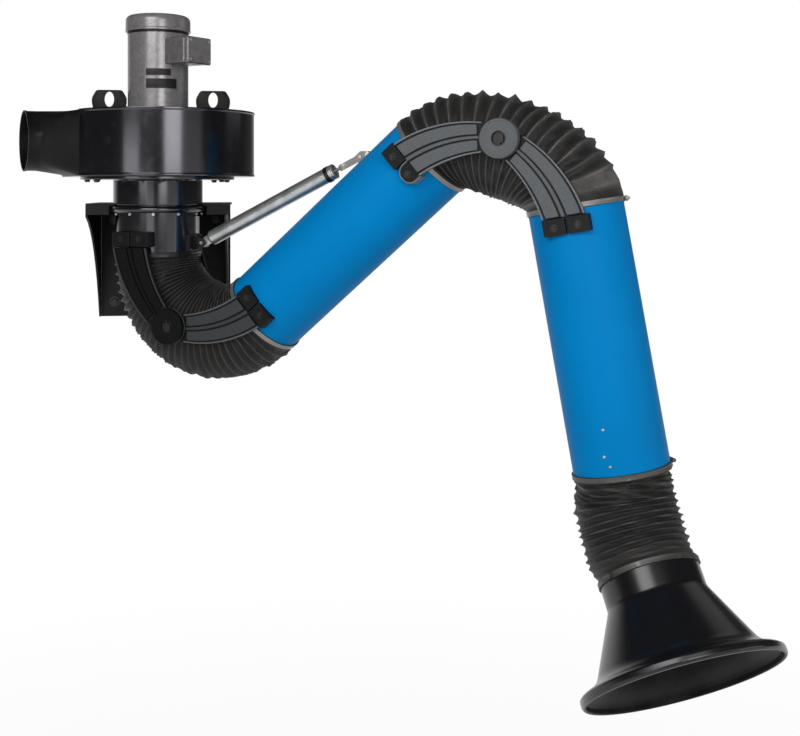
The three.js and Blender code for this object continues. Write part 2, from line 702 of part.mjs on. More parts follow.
// A pleated hose between two tube ends: its outer and inner edges are Bezier curves that
// leave each cuff along its tube.
function makeBentHose(group, name, from, to, bulge, handles) {
  const edges = [bulge, -bulge].map((side, i) => {
    const a = offset(from.point, [from.way, CUFF], [leftOf(from.way), side * TUBE_RADIUS]);
    const b = offset(to.point, [to.way, -CUFF], [leftOf(to.way), side * TUBE_RADIUS]);
    const handle = i === 0 ? handles.outer : handles.inner;
    const c = offset(a, [from.way, handle]);
    const d = offset(b, [to.way, -handle]);
    return new THREE.CubicBezierCurve(a, c, d, b);
  });
  const cuffRing = (end, shift, grow) => {
    const [outer, inner] = [bulge, -bulge].map((side) => (
      offset(end.point, [end.way, shift], [leftOf(end.way), side * TUBE_RADIUS])));
    return hoseRing(outer, inner, grow, TUBE_RADIUS + grow);
  };
  const at = (s, grow, halfWidth) => hoseRing(edges[0].getPoint(s), edges[1].getPoint(s), grow, halfWidth);
  const outside = [cuffRing(from, 0, GAP + CUFF_WALL), cuffRing(from, CUFF, GAP + CUFF_WALL)];
  for (let i = 1; i < 2 * PLEATS; i += 1) {
    const peak = i % 2 === 1;
    const s = i / (2 * PLEATS);
    outside.push(at(s, peak ? PLEAT_PEAK : PLEAT_VALLEY, peak ? HOSE_SIDE_PEAK : HOSE_SIDE_VALLEY));
  }
  outside.push(cuffRing(to, -CUFF, GAP + CUFF_WALL), cuffRing(to, 0, GAP + CUFF_WALL));
  const inside = [cuffRing(from, 0, GAP), cuffRing(from, CUFF + GAP, GAP)];
  for (const s of [0.25, 0.5, 0.75]) {
    inside.push(at(s, HOSE_BORE - TUBE_RADIUS, HOSE_BORE));
  }
  inside.push(cuffRing(to, -CUFF - GAP, GAP), cuffRing(to, 0, GAP));
  piece(group, name, lofted([...outside, ...inside.reverse()]), HOSE_CLOTH);
}

// Balance strut

const strutHead = offset(upperStart, [upperWay, STRUT_HEAD_ALONG], [leftOf(upperWay), STRUT_HEAD_ASIDE]);
const strutLine = strutHead.clone().sub(STRUT_FOOT);
const strutAngle = THREE.MathUtils.radToDeg(strutLine.angle());

function onStrut(geometry) {
  return along(geometry, STRUT_FOOT, strutAngle);
}

function makeStrutFoot(group) {
  const ear = (from, to) => {
    const reach = STRUT_FOOT.x - TUBE_RADIUS + 4;
    const outline = new THREE.Shape();
    outline.absarc(0, 0, CLEVIS_ROUND, -Math.PI / 2, Math.PI / 2, false);
    outline.lineTo(-reach, CLEVIS_HALF);
    outline.lineTo(-reach, -CLEVIS_HALF);
    const options = { depth: to - from, bevelEnabled: false, curveSegments: 8 };
    const plate = new THREE.ExtrudeGeometry(outline, options).translate(0, 0, from);
    return inPlane(plate).translate(STRUT_FOOT.x, 0, STRUT_FOOT.y);
  };
  const padSpan = [STRUT_FOOT.y - CLEVIS_HALF, STRUT_FOOT.y + CLEVIS_HALF];
  const pad = block([CLEVIS_PAD.from, CLEVIS_PAD.to], [-CLEVIS_PAD.half, CLEVIS_PAD.half], padSpan);
  const [earIn, earOut] = CLEVIS_EARS;
  const body = join(pad, ear(earIn, earOut), ear(-earOut, -earIn));
  const core = bar(TUBE_RADIUS + GAP, SWIVEL_LOW - CUFF, SWIVEL_TOP, SIDES);
  const hole = crossBar(CROSS_PIN + GAP, STRUT_FOOT, -PIN_DRILL, PIN_DRILL);
  piece(group, 'strut_clevis', cut(body, core, hole), BLACK_PAINT);
  piece(group, 'strut_pin_low', crossBar(CROSS_PIN, STRUT_FOOT, -PIN_LOW_HALF, PIN_LOW_HALF), STEEL);
}

function makeStrutBarrel(group) {
  const [low, high] = BARREL_SPAN;
  const [under, floor] = [low - BARREL_END, low + BARREL_END];
  const tube = turned([
    [0, under], [BARREL_RADIUS, under], [BARREL_RADIUS, high], [BARREL_BORE, high],
    [BARREL_BORE, floor], [0, floor],
  ], BARREL_SIDES);
  const [eyeRadius, eyeHalf] = BARREL_EYE;
  const eyeEnd = crossBar(eyeRadius, new THREE.Vector2(), -eyeHalf, eyeHalf);
  const eye = block([-eyeRadius, eyeRadius], [-eyeHalf, eyeHalf], [0, low]);
  const hole = crossBar(CROSS_PIN + 2 * GAP, new THREE.Vector2(), -PIN_DRILL, PIN_DRILL);
  piece(group, 'strut_barrel', onStrut(cut(join(tube, eyeEnd, eye), hole)), ZINC);

  const slot = new THREE.Shape();
  slot.absarc(0, 0, BARREL_RADIUS, 0, 2 * Math.PI, false);
  const [reach, half] = CAP_SLOT;
  const opening = [[-reach, -half], [-reach, half], [reach, half], [reach, -half]];
  slot.holes.push(new THREE.Path(opening.map(([x, y]) => new THREE.Vector2(x, y))));
  const options = { depth: CAP_THICK, bevelEnabled: false, curveSegments: BARREL_SIDES / 2 };
  const cap = new THREE.ExtrudeGeometry(slot, options).translate(0, 0, high + GAP);
  piece(group, 'strut_cap', onStrut(cap), ZINC);

  const [springLow, springHigh] = SPRING_SPAN;
  class Coil extends THREE.Curve {
    getPoint(t, target = new THREE.Vector3()) {
      const turn = 2 * Math.PI * SPRING_COILS * t;
      const rise = THREE.MathUtils.lerp(springLow, springHigh, t);
      return target.set(SPRING_RADIUS * Math.cos(turn), SPRING_RADIUS * Math.sin(turn), rise);
    }
  }
  const wire = new THREE.Shape([0, 90, 180, 270].map((turn) => heading(turn).multiplyScalar(SPRING_WIRE)));
  const spring = new THREE.ExtrudeGeometry(wire, { steps: SPRING_COILS * 8, extrudePath: new Coil() });
  piece(group, 'strut_spring', onStrut(spring), STEEL);
}

function makeStrutRod(group) {
  const head = strutLine.length();
  const top = new THREE.Vector2();
  const { half: [wide, thick], length, overlap, eye: round } = ROD_TONGUE;
  const tongue = block([-wide, wide], [-thick, thick], [head - length, head]);
  const eye = crossBar(round, top, -thick, thick).translate(0, 0, head);
  const hole = crossBar(CROSS_PIN + GAP, top, -PIN_DRILL, PIN_DRILL).translate(0, 0, head);
  const rod = bar(ROD_RADIUS, ROD_START, head - length + overlap);
  piece(group, 'strut_rod', onStrut(cut(join(rod, tongue, eye), hole)), ZINC);
}

function makeStrutHead(group) {
  const plate = (corners, from, to) => {
    const spots = corners.map(([a, b]) => (
      offset(upperStart, [upperWay, STRUT_HEAD_ALONG + a], [leftOf(upperWay), b])));
    return inPlane(sheet(spots, from, to));
  };
  const low = TUBE_RADIUS - HEAD_SUNK;
  const [tieFrom, tieTo] = HEAD_TIE;
  const crest = STRUT_HEAD_ASIDE + HEAD_CREST;
  const ear = [
    [HEAD_HEEL, low], [tieTo, low], [tieTo, HEAD_TIE_TOP], [HEAD_CREST, crest], [-HEAD_CREST, crest],
  ];
  const bridge = [[tieFrom, low], [tieTo, low], [tieTo, HEAD_TIE_TOP], [tieFrom, HEAD_TIE_TOP]];
  const [earIn, earOut] = HEAD_EARS;
  const tie = plate(bridge, -HEAD_TIE_HALF, HEAD_TIE_HALF);
  const body = join(plate(ear, earIn, earOut), plate(ear, -earOut, -earIn), tie);
  const core = along(bar(TUBE_RADIUS + GAP, 0, TUBE_LENGTH, SIDES), upperStart, UPPER_ANGLE);
  const hole = crossBar(CROSS_PIN + GAP, strutHead, -PIN_DRILL, PIN_DRILL);
  piece(group, 'strut_lug', cut(body, core, hole), ZINC);
  piece(group, 'strut_pin_top', crossBar(CROSS_PIN, strutHead, -PIN_TOP_HALF, PIN_TOP_HALF), STEEL);
}

// Hood and its universal joint

// A frame at the hood joint: z along the given way, x square to it in the arm's plane.
function jointFrame(way, square) {
  const frame = new THREE.Group();
  const third = way.clone().cross(square);
  frame.applyMatrix4(new THREE.Matrix4().makeBasis(square, third, way));
  frame.position.set(hoodJoint.x, 0, hoodJoint.y);
  return frame;
}

const lift = (flat) => new THREE.Vector3(flat.x, 0, flat.y);
const tiltWay = heading(LOWER_ANGLE + HOOD_TILT);
const hoodSquare = lift(leftOf(tiltWay));
const towardsViewer = new THREE.Vector3(0, -1, 0);
const hoodWay = lift(tiltWay).multiplyScalar(Math.cos(rad(HOOD_ROLL)));
hoodWay.addScaledVector(towardsViewer, Math.sin(rad(HOOD_ROLL)));

// A fork with its ears out along y, its base up the z axis, and a crossbar that spans the duct.
function fork(barHalf, barLevels) {
  const [earIn, earOut] = FORK_EAR;
  const sides = [-FORK_HALF, FORK_HALF];
  const earSpans = [[earIn, earOut], [-earOut, -earIn]];
  const ears = earSpans.map((span) => block(sides, span, [FORK_TOE, FORK_REACH]));
  const base = block(sides, [-earOut, earOut], FORK_BASE);
  const stem = bar(FORK_STEM, FORK_REACH, barLevels[0] + 1);
  const crossbar = block(sides, [-barHalf, barHalf], barLevels);
  const hole = crossBar(CROSS_HOLE, new THREE.Vector2(), -PIN_DRILL, PIN_DRILL);
  return cut(join(...ears, base, stem, crossbar), hole);
}

function makeHoodJoint(arm) {
  const upperFrame = jointFrame(lift(lowerWay), lift(leftOf(lowerWay)));
  const tubeHalf = TUBE_RADIUS - TUBE_WALL - FORK_BAR_GAP;
  const upperFork = fork(tubeHalf, FORK_UPPER_BAR).rotateX(Math.PI);
  piece(upperFrame, 'hood_yoke_upper', upperFork, STEEL);

  const crossFrame = jointFrame(lift(tiltWay), hoodSquare);
  const pinAcross = crossBar(CROSS_PIN, new THREE.Vector2(), -CROSS_PIN_REACH, CROSS_PIN_REACH);
  const pinSide = pinAcross.clone().rotateZ(Math.PI / 2);
  const side = [-CROSS_HEART, CROSS_HEART];
  const heart = block(side, side, side);
  piece(crossFrame, 'hood_cross', join(heart, pinAcross, pinSide), STEEL);

  const hoodFrame = jointFrame(hoodWay, hoodSquare);
  const neckHalf = HOOD_NECK_RADIUS - HOOD_WALL - FORK_BAR_GAP;
  const lowerFork = fork(neckHalf, FORK_LOWER_BAR).rotateZ(Math.PI / 2);
  piece(hoodFrame, 'hood_yoke_lower', lowerFork, STEEL);
  makeHood(hoodFrame);
  arm.add(upperFrame, crossFrame, hoodFrame);
}

function makeHood(frame) {
  const neck = HOOD_NECK_RADIUS;
  const shell = [
    [neck - HOOD_WALL, -CUFF], [neck, -CUFF],
    ...HOOD_OUTSIDE, ...HOOD_LIP, ...HOOD_INSIDE,
    [neck - HOOD_WALL, -CUFF],
  ];
  piece(frame, 'hood', turned(shell.map(([r, z]) => [r, z + HOOD_NECK_DROP])), HOOD_PLASTIC);
  const inner = neck + GAP + CUFF_WALL + GAP;
  const bandSpan = [HOOD_NECK_DROP - CUFF + CLAMP_MARGIN, HOOD_NECK_DROP - CLAMP_MARGIN];
  const band = ring(inner, inner + CLAMP_WALL, ...bandSpan);
  piece(frame, 'hood_hose_clamp_low', band, STEEL);
}

// The hood hose follows a curve in space from the lower tube to the hood's neck.
function makeHoodHose(group) {
  const startWay = lift(lowerWay);
  const start = lift(lowerEnd);
  const end = lift(hoodJoint).addScaledVector(hoodWay, HOOD_NECK_DROP);
  const a = start.clone().addScaledVector(startWay, CUFF);
  const b = end.clone().addScaledVector(hoodWay, -CUFF);
  const handle = a.distanceTo(b) / 3;
  const c = a.clone().addScaledVector(startWay, handle);
  const d = b.clone().addScaledVector(hoodWay, -handle);
  const curve = new THREE.CubicBezierCurve3(a, c, d, b);
  const circle = (middle, way, radius) => {
    const across = towardsViewer.clone().addScaledVector(way, -towardsViewer.dot(way)).normalize();
    const square = across.clone().cross(way);
    return (angle, target) => {
      target.copy(middle).addScaledVector(square, radius * Math.cos(angle));
      target.addScaledVector(across, radius * Math.sin(angle));
    };
  };
  const cuff = (point, way, shift, radius) => {
    const middle = point.clone().addScaledVector(way, shift);
    return circle(middle, way, radius);
  };
  const at = (s, radius) => circle(curve.getPoint(s), curve.getTangent(s), radius);
  const tubeFit = TUBE_RADIUS + GAP;
  const neckFit = HOOD_NECK_RADIUS + GAP;
  const [tubeOver, neckOver] = [tubeFit + CUFF_WALL, neckFit + CUFF_WALL];
  const outside = [cuff(start, startWay, 0, tubeOver), cuff(start, startWay, CUFF, tubeOver)];
  for (let i = 1; i < 2 * PLEATS; i += 1) {
    const pleat = i % 2 === 1 ? HOOD_PLEAT_PEAK : HOOD_PLEAT_VALLEY;
    outside.push(at(i / (2 * PLEATS), TUBE_RADIUS + pleat));
  }
  outside.push(cuff(end, hoodWay, -CUFF, neckOver), cuff(end, hoodWay, 0, neckOver));
  const inside = [cuff(start, startWay, 0, tubeFit), cuff(start, startWay, CUFF + GAP, tubeFit)];
  for (const s of [0.33, 0.67]) {
    inside.push(at(s, HOSE_BORE));
  }
  inside.push(cuff(end, hoodWay, -CUFF - GAP, neckFit), cuff(end, hoodWay, 0, neckFit));
  piece(group, 'hood_hose', lofted([...outside, ...inside.reverse()]), HOSE_CLOTH);
}

// The whole arm in its own plane

function makeArm(arm) {
  const swivelSide = { end: swivelEnd, way: down, aside: outwards, degrees: -90 };
  const upperLow = {
    end: upperStart, way: upperWay.clone().negate(), aside: leftOf(upperWay), degrees: UPPER_ANGLE,
  };
  const upperHigh = {
    end: upperEnd, way: upperWay, aside: leftOf(upperWay).negate(), degrees: UPPER_ANGLE,
  };
  const lowerHigh = {
    end: lowerStart, way: lowerWay.clone().negate(), aside: leftOf(lowerWay).negate(), degrees: LOWER_ANGLE,
  };

  makeSwivel(arm);
  makeTube(arm, 'upper_tube', upperStart, UPPER_ANGLE);
  makeTube(arm, 'lower_tube', lowerStart, LOWER_ANGLE);
  for (const [place, side] of [['front', 1], ['back', -1]]) {
    makeLink(arm, `shoulder_link_${place}_upper`, swivelSide, OUTER_LINK, side);
    makeLink(arm, `shoulder_link_${place}_lower`, upperLow, INNER_LINK, side);
    makeLink(arm, `elbow_link_${place}_upper`, upperHigh, OUTER_LINK, side);
    makeLink(arm, `elbow_link_${place}_lower`, lowerHigh, INNER_LINK, side);
  }
  makePivot(arm, 'shoulder', SHOULDER);
  makePivot(arm, 'elbow', ELBOW);

  const swivelOut = { point: swivelEnd, way: down };
  const upperIn = { point: upperStart, way: upperWay };
  const upperOut = { point: upperEnd, way: upperWay };
  const lowerIn = { point: lowerStart, way: lowerWay };
  makeBentHose(arm, 'shoulder_hose', swivelOut, upperIn, -1, SHOULDER_HANDLES);
  makeBentHose(arm, 'elbow_hose', upperOut, lowerIn, 1, ELBOW_HANDLES);
  makeHoodHose(arm);
  makeClamp(arm, 'shoulder_hose_clamp_top', swivelEnd, -90);
  makeClamp(arm, 'shoulder_hose_clamp_low', upperStart, UPPER_ANGLE + 180);
  makeClamp(arm, 'elbow_hose_clamp_top', upperEnd, UPPER_ANGLE);
  makeClamp(arm, 'elbow_hose_clamp_low', lowerStart, LOWER_ANGLE + 180);
  makeClamp(arm, 'hood_hose_clamp_top', lowerEnd, LOWER_ANGLE);

  makeStrutFoot(arm);
  makeStrutBarrel(arm);
  makeStrutRod(arm);
  makeStrutHead(arm);
  makeHoodJoint(arm);
}

const model = new THREE.Group();
makeBracket(model);

const tower = new THREE.Group();
tower.position.set(0, -AXIS_OUT, DATUM_Z);
makeLugs(tower);
makeMotor(tower);
makeFanWheel(tower);
makeNeck(tower);

const fan = new THREE.Group();
fan.position.copy(tower.position);
fan.rotation.z = rad(FAN_TURN);
makeBlower(fan);

const arm = new THREE.Group();
arm.position.copy(tower.position);
arm.rotation.z = rad(ARM_TURN);
makeArm(arm);

model.add(tower, fan, arm);
export default model;
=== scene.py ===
import json
import math

import bmesh
import bpy
import numpy as np
from bpy.props import FloatProperty, FloatVectorProperty, IntProperty, PointerProperty
from mathutils import Matrix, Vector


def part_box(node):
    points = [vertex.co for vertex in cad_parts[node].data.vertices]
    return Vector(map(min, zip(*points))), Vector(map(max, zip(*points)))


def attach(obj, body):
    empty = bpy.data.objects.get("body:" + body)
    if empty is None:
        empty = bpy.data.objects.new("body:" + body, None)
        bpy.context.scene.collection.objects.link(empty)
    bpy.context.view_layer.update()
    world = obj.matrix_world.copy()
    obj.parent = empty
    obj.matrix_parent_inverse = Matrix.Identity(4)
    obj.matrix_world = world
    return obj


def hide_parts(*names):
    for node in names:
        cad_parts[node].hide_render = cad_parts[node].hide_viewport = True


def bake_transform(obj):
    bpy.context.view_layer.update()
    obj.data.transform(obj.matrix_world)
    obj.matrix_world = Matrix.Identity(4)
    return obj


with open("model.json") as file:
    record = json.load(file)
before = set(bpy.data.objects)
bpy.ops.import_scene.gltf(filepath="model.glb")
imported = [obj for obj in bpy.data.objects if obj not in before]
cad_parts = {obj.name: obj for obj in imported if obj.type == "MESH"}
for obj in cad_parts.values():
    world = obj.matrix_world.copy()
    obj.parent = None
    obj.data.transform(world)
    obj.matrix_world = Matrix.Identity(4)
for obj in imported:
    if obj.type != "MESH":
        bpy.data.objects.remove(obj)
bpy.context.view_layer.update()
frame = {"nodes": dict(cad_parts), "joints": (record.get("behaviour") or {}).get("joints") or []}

bl_info = {
    "name": "Fume Extraction Arm",
    "version": (1, 0, 0),
    "blender": (4, 5, 0),
    "location": "3D View > Sidebar > Arm",
    "description": "Dresses a wall-mounted fume extraction arm and sets up its studio",
    "category": "Object",
}

IMAGE_SIZE = (800, 736)
MM = 0.001

# Shapes that the solids also have, in millimetres and degrees
FAN_TURN = 18.9
ARM_TURN = -29
UPPER_ANGLE = 41.2
LOWER_ANGLE = -79.8
TUBE_LENGTH = 545
TUBE_WALL = 2.5
CUFF = 12
PIVOT_ALONG = 170
PIVOT_ASIDE = 105
SWIVEL_LOW = -148
SWIVEL_TOP = -39
HOUSING = (33, 190)
HOOD_TILT = 16.2
HOOD_ROLL = 25.6
HOOD_NECK_DROP = 123.5
HOOD_NECK_RADIUS = 103


class ArmSizes(bpy.types.PropertyGroup):
    """Sizes that a user may change without moving a joint."""

    tube_radius: FloatProperty(
        name="Tube Radius", description="Outside radius of the two tubes", default=0.1015, unit="LENGTH")
    pleat_depth: FloatProperty(
        name="Pleat Depth", description="Height of a pleat on the outside of a bend", default=0.0075,
        unit="LENGTH")
    elbow_pleats: IntProperty(
        name="Elbow Pleats", description="Pleats along the elbow hose", default=18, min=6)
    shoulder_pleats: IntProperty(
        name="Shoulder Pleats", description="Pleats along the shoulder hose", default=29, min=6)
    hood_pleats: IntProperty(
        name="Hood Pleats", description="Pleats along the hood hose", default=13, min=4)


class ArmFinishes(bpy.types.PropertyGroup):
    """Colours of the finishes."""

    blue: FloatVectorProperty(
        name="Tube Blue", description="Powder coat on the two tubes", subtype="COLOR", min=0, max=1,
        default=(0.0, 0.19, 0.485))
    black: FloatVectorProperty(
        name="Housing Black", description="Paint on blower, neck and bracket", subtype="COLOR", min=0, max=1,
        default=(0.0045, 0.0045, 0.0054))
    grey: FloatVectorProperty(
        name="Motor Grey", description="Enamel on the motor", subtype="COLOR", min=0, max=1,
        default=(0.2, 0.19, 0.196))
    pad: FloatVectorProperty(
        name="Link Grey", description="Grained pads of the links", subtype="COLOR", min=0, max=1,
        default=(0.076, 0.083, 0.09))
    cloth: FloatVectorProperty(
        name="Hose Cloth", description="Coated cloth of the hoses", subtype="COLOR", min=0, max=1,
        default=(0.058, 0.0535, 0.0505))
    zinc: FloatVectorProperty(
        name="Zinc", description="Plating on the balance strut", subtype="COLOR", min=0, max=1,
        default=(0.46, 0.48, 0.475))
    steel: FloatVectorProperty(
        name="Steel", description="Clamps, bolts and inner metal", subtype="COLOR", min=0, max=1,
        default=(0.5, 0.48, 0.455))


class ArmStudio(bpy.types.PropertyGroup):
    """The studio's lamps and floor."""

    key_power: FloatProperty(
        name="Key Light", description="Power of the soft box at the right", default=25, unit="POWER")
    wide_power: FloatProperty(
        name="Wide Light", description="Power of the dim soft box beside the key", default=3.6, unit="POWER")
    front_power: FloatProperty(
        name="Front Light", description="Power of the raised soft box at the left", default=45, unit="POWER")
    fill_power: FloatProperty(
        name="Fill Light", description="Power of the strip at the left", default=3.2, unit="POWER")
    low_power: FloatProperty(
        name="Low Light", description="Power of the low soft box at the left", default=4.4, unit="POWER")
    side_power: FloatProperty(
        name="Side Light", description="Power of the strip at the far right", default=4.6, unit="POWER")
    rim_power: FloatProperty(
        name="Rim Light", description="Power of the soft box behind at the right", default=2.8, unit="POWER")
    room_light: FloatProperty(
        name="Room Light", description="Even light from the white room", default=0.3, min=0, max=1)
    room_gloss: FloatProperty(
        name="Room Gloss", description="How bright the room's dark side shows in gloss", default=0.05, min=0, max=1)
    floor_white: FloatProperty(
        name="Floor White", description="Share of plain white in the floor, over its shadow", default=0.9, min=0, max=1)
    floor_drop: FloatProperty(
        name="Floor Level", description="Height of the floor below the origin", default=-2.2, unit="LENGTH")


# Places and points


def joint_point(name):
    """A joint's rest position in metres."""
    return np.array(next(joint["pos_m"] for joint in frame["joints"] if joint["name"] == name))


class Place:
    """A right-handed frame. Calling it takes millimetre points in the frame to metres in the row frame."""

    def __init__(self, origin, axes):
        self.origin = np.asarray(origin, float)
        self.axes = np.asarray(axes, float)

    def __call__(self, points):
        return self.origin + MM * (np.asarray(points, float) @ self.axes)

    def within(self, origin, x, y, z):
        """A frame whose origin and axes are given in this one."""
        return Place(self(origin), np.array([x, y, z], float) @ self.axes)

    def turned(self, degrees):
        """This frame turned about its own z."""
        c, s = math.cos(math.radians(degrees)), math.sin(math.radians(degrees))
        return self.within((0, 0, 0), (c, s, 0), (-s, c, 0), (0, 0, 1))


def heading(degrees):
    return np.array([math.cos(math.radians(degrees)), math.sin(math.radians(degrees))])


def left_of(way):
    return np.array([-way[1], way[0]])


def on_line(point, way):
    """The frame of a line in the arm's plane: z along the line, y away from the viewer."""
    return ARM.within((point[0], 0, point[1]), (way[1], 0, -way[0]), (0, 1, 0), (way[0], 0, way[1]))


def arm_spot(flat, n=0):
    """Row position of a point of the arm's plane, n towards the viewer."""
    return ARM((flat[0], -n, flat[1]))


def facing(place, axis):
    """A frame at the same origin as place whose z is the given axis of it, for bolts and turned parts."""
    z = np.asarray(axis, float) / np.linalg.norm(axis)
    x = np.cross((0.31, 0.87, 0.21), z)
    x /= np.linalg.norm(x)
    return place.within((0, 0, 0), x, np.cross(z, x), z)


TOWER = Place(joint_point("base_swivel"), np.eye(3))
FAN = TOWER.turned(FAN_TURN)
ARM = TOWER.turned(ARM_TURN)


def arm_flat(name):
    """A joint's position in the arm's plane, in millimetres."""
    local = (joint_point(name) - ARM.origin) @ ARM.axes.T / MM
    return local[[0, 2]]


UPPER = heading(UPPER_ANGLE)
LOWER = heading(LOWER_ANGLE)
DOWN = np.array([0.0, -1.0])
OUTWARDS = np.array([1.0, 0.0])
SHOULDER = arm_flat("shoulder")
ELBOW = arm_flat("elbow")
SWIVEL_END = np.array([0.0, SWIVEL_LOW])
UPPER_START = SHOULDER + UPPER * PIVOT_ALONG - left_of(UPPER) * PIVOT_ASIDE
UPPER_END = UPPER_START + UPPER * TUBE_LENGTH
LOWER_START = ELBOW + LOWER * PIVOT_ALONG + left_of(LOWER) * PIVOT_ASIDE
LOWER_END = LOWER_START + LOWER * TUBE_LENGTH
HOOD_JOINT = arm_flat("hood_tilt")
TILT_WAY = heading(LOWER_ANGLE + HOOD_TILT)
HOOD_SQUARE = np.array([-TILT_WAY[1], 0, TILT_WAY[0]])
HOOD_WAY = np.array([TILT_WAY[0], 0, TILT_WAY[1]]) * math.cos(math.radians(HOOD_ROLL))
HOOD_WAY[1] = -math.sin(math.radians(HOOD_ROLL))
HOOD = ARM.within((HOOD_JOINT[0], 0, HOOD_JOINT[1]), HOOD_SQUARE, np.cross(HOOD_WAY, HOOD_SQUARE), HOOD_WAY)
STRUT_FOOT = arm_flat("strut_foot")
STRUT_HEAD = arm_flat("strut_head")


# Surfaces as arrays of points


def soft_corners(points, radius, steps=4, loop=True):
    """Each corner p becomes the curve (1-t)^2 a + 2t(1-t) p + t^2 b between points a and b on its two sides."""
    p = np.asarray(points, float)
    before = np.roll(p, 1, 0) - p
    after = np.roll(p, -1, 0) - p
    reach_before = np.maximum(np.linalg.norm(before, axis=1), 1e-9)[:, None]
    reach_after = np.maximum(np.linalg.norm(after, axis=1), 1e-9)[:, None]
    limit = 0.48 * np.minimum(reach_before, reach_after)
    r = np.minimum(np.broadcast_to(radius, len(p))[:, None], limit)
    if not loop:
        r = r.copy()
        r[[0, -1]] = 0
    a = p + before / reach_before * r
    b = p + after / reach_after * r
    t = np.linspace(0, 1, steps)[None, :, None]
    curve = (1 - t) ** 2 * a[:, None] + 2 * t * (1 - t) * p[:, None] + t ** 2 * b[:, None]
    return curve.reshape(-1, p.shape[1])


def held(points, loop=False, gap=0.7):
    """Points added close to both ends of each long side, so that its shading stays flat up to the rounded corner."""
    p = np.vstack([points, points[:1]]) if loop else np.asarray(points, float)
    step = np.diff(p, axis=0)
    reach = np.linalg.norm(step, axis=1)
    share = gap / np.maximum(reach, 1e-9)
    along = np.stack([np.zeros_like(share), share, 1 - share], 1)[..., None]
    kept = np.stack([np.ones(len(step), bool), reach > 6 * gap, reach > 6 * gap], 1)
    line = (p[:-1, None] + step[:, None] * along)[kept]
    return line if loop else np.vstack([line, p[-1:]])


def turn(profile, sides=96):
    """A profile of [radius, height] carried round z: (r cos a, r sin a, h)."""
    p = held(profile)
    angle = 2 * np.pi * np.arange(sides) / sides
    height = np.broadcast_to(p[:, 1:], (len(p), sides))
    return np.stack([p[:, :1] * np.cos(angle), p[:, :1] * np.sin(angle), height], -1)


def capped(rows, edge=0.0):
    """A row of sections closed at both ends: the end section moves in by the edge, shrinks by it, then meets its middle."""

    def lid(section, following):
        middle = section.mean(0)
        inwards = (following - section).mean(0)
        inwards /= max(np.linalg.norm(inwards), 1e-9)
        size = np.linalg.norm(section - middle, axis=1).min()
        shrunk = middle + (section - middle) * (1 - min(edge / max(size, 1e-9), 0.5))
        return [np.broadcast_to(middle, section.shape), shrunk, section + inwards * edge]

    first = lid(rows[0], rows[1])
    last = lid(rows[-1], rows[-2])
    return np.concatenate([np.array(first), rows[1:-1], np.array(last[::-1])])


def band(left, right, low, high, edge=1.0):
    """A strip between two edge lines of the same plane, with rounded long edges: left + (right - left) x, level y."""
    left, right = np.asarray(left, float), np.asarray(right, float)
    width = np.linalg.norm(right - left, axis=1).mean()
    section = held(soft_corners([[0, low], [width, low], [width, high], [0, high]], edge), True)
    x = (section[:, 0] / width)[None, :, None]
    flat = left[:, None] * (1 - x) + right[:, None] * x
    level = np.broadcast_to(section[:, 1][None, :, None], flat.shape[:2] + (1,))
    return capped(np.concatenate([flat, level], -1), edge)


def slab(size_x, size_y, size_z, edge=1.0):
    """A block with rounded edges, from three [low, high] pairs."""
    left = [[size_x[0], size_y[0]], [size_x[1], size_y[0]]]
    right = [[size_x[0], size_y[1]], [size_x[1], size_y[1]]]
    return band(left, right, size_z[0], size_z[1], edge)


def bezier(a, b, c, d, t):
    """The cubic curve of four points at each t, one row per t."""
    t = np.asarray(t, float)[:, None]
    return (1 - t) ** 3 * a + 3 * t * (1 - t) ** 2 * b + 3 * t ** 2 * (1 - t) * c + t ** 3 * d


def smooth(t):
    """3t^2 - 2t^3 between 0 and 1."""
    t = np.clip(t, 0, 1)
    return t * t * (3 - 2 * t)


def ripple(s, angle, draw, waves, along, round_it):
    """A sum of sines of s and the angle, with drawn wave numbers and phases, within about -1 to 1."""
    total = 0
    for _ in range(waves):
        total = total + np.sin(
            2 * np.pi * draw.uniform(*along) * s + draw.integers(*round_it) * angle + draw.uniform(0, 2 * np.pi))
    return total / math.sqrt(waves) / 1.4


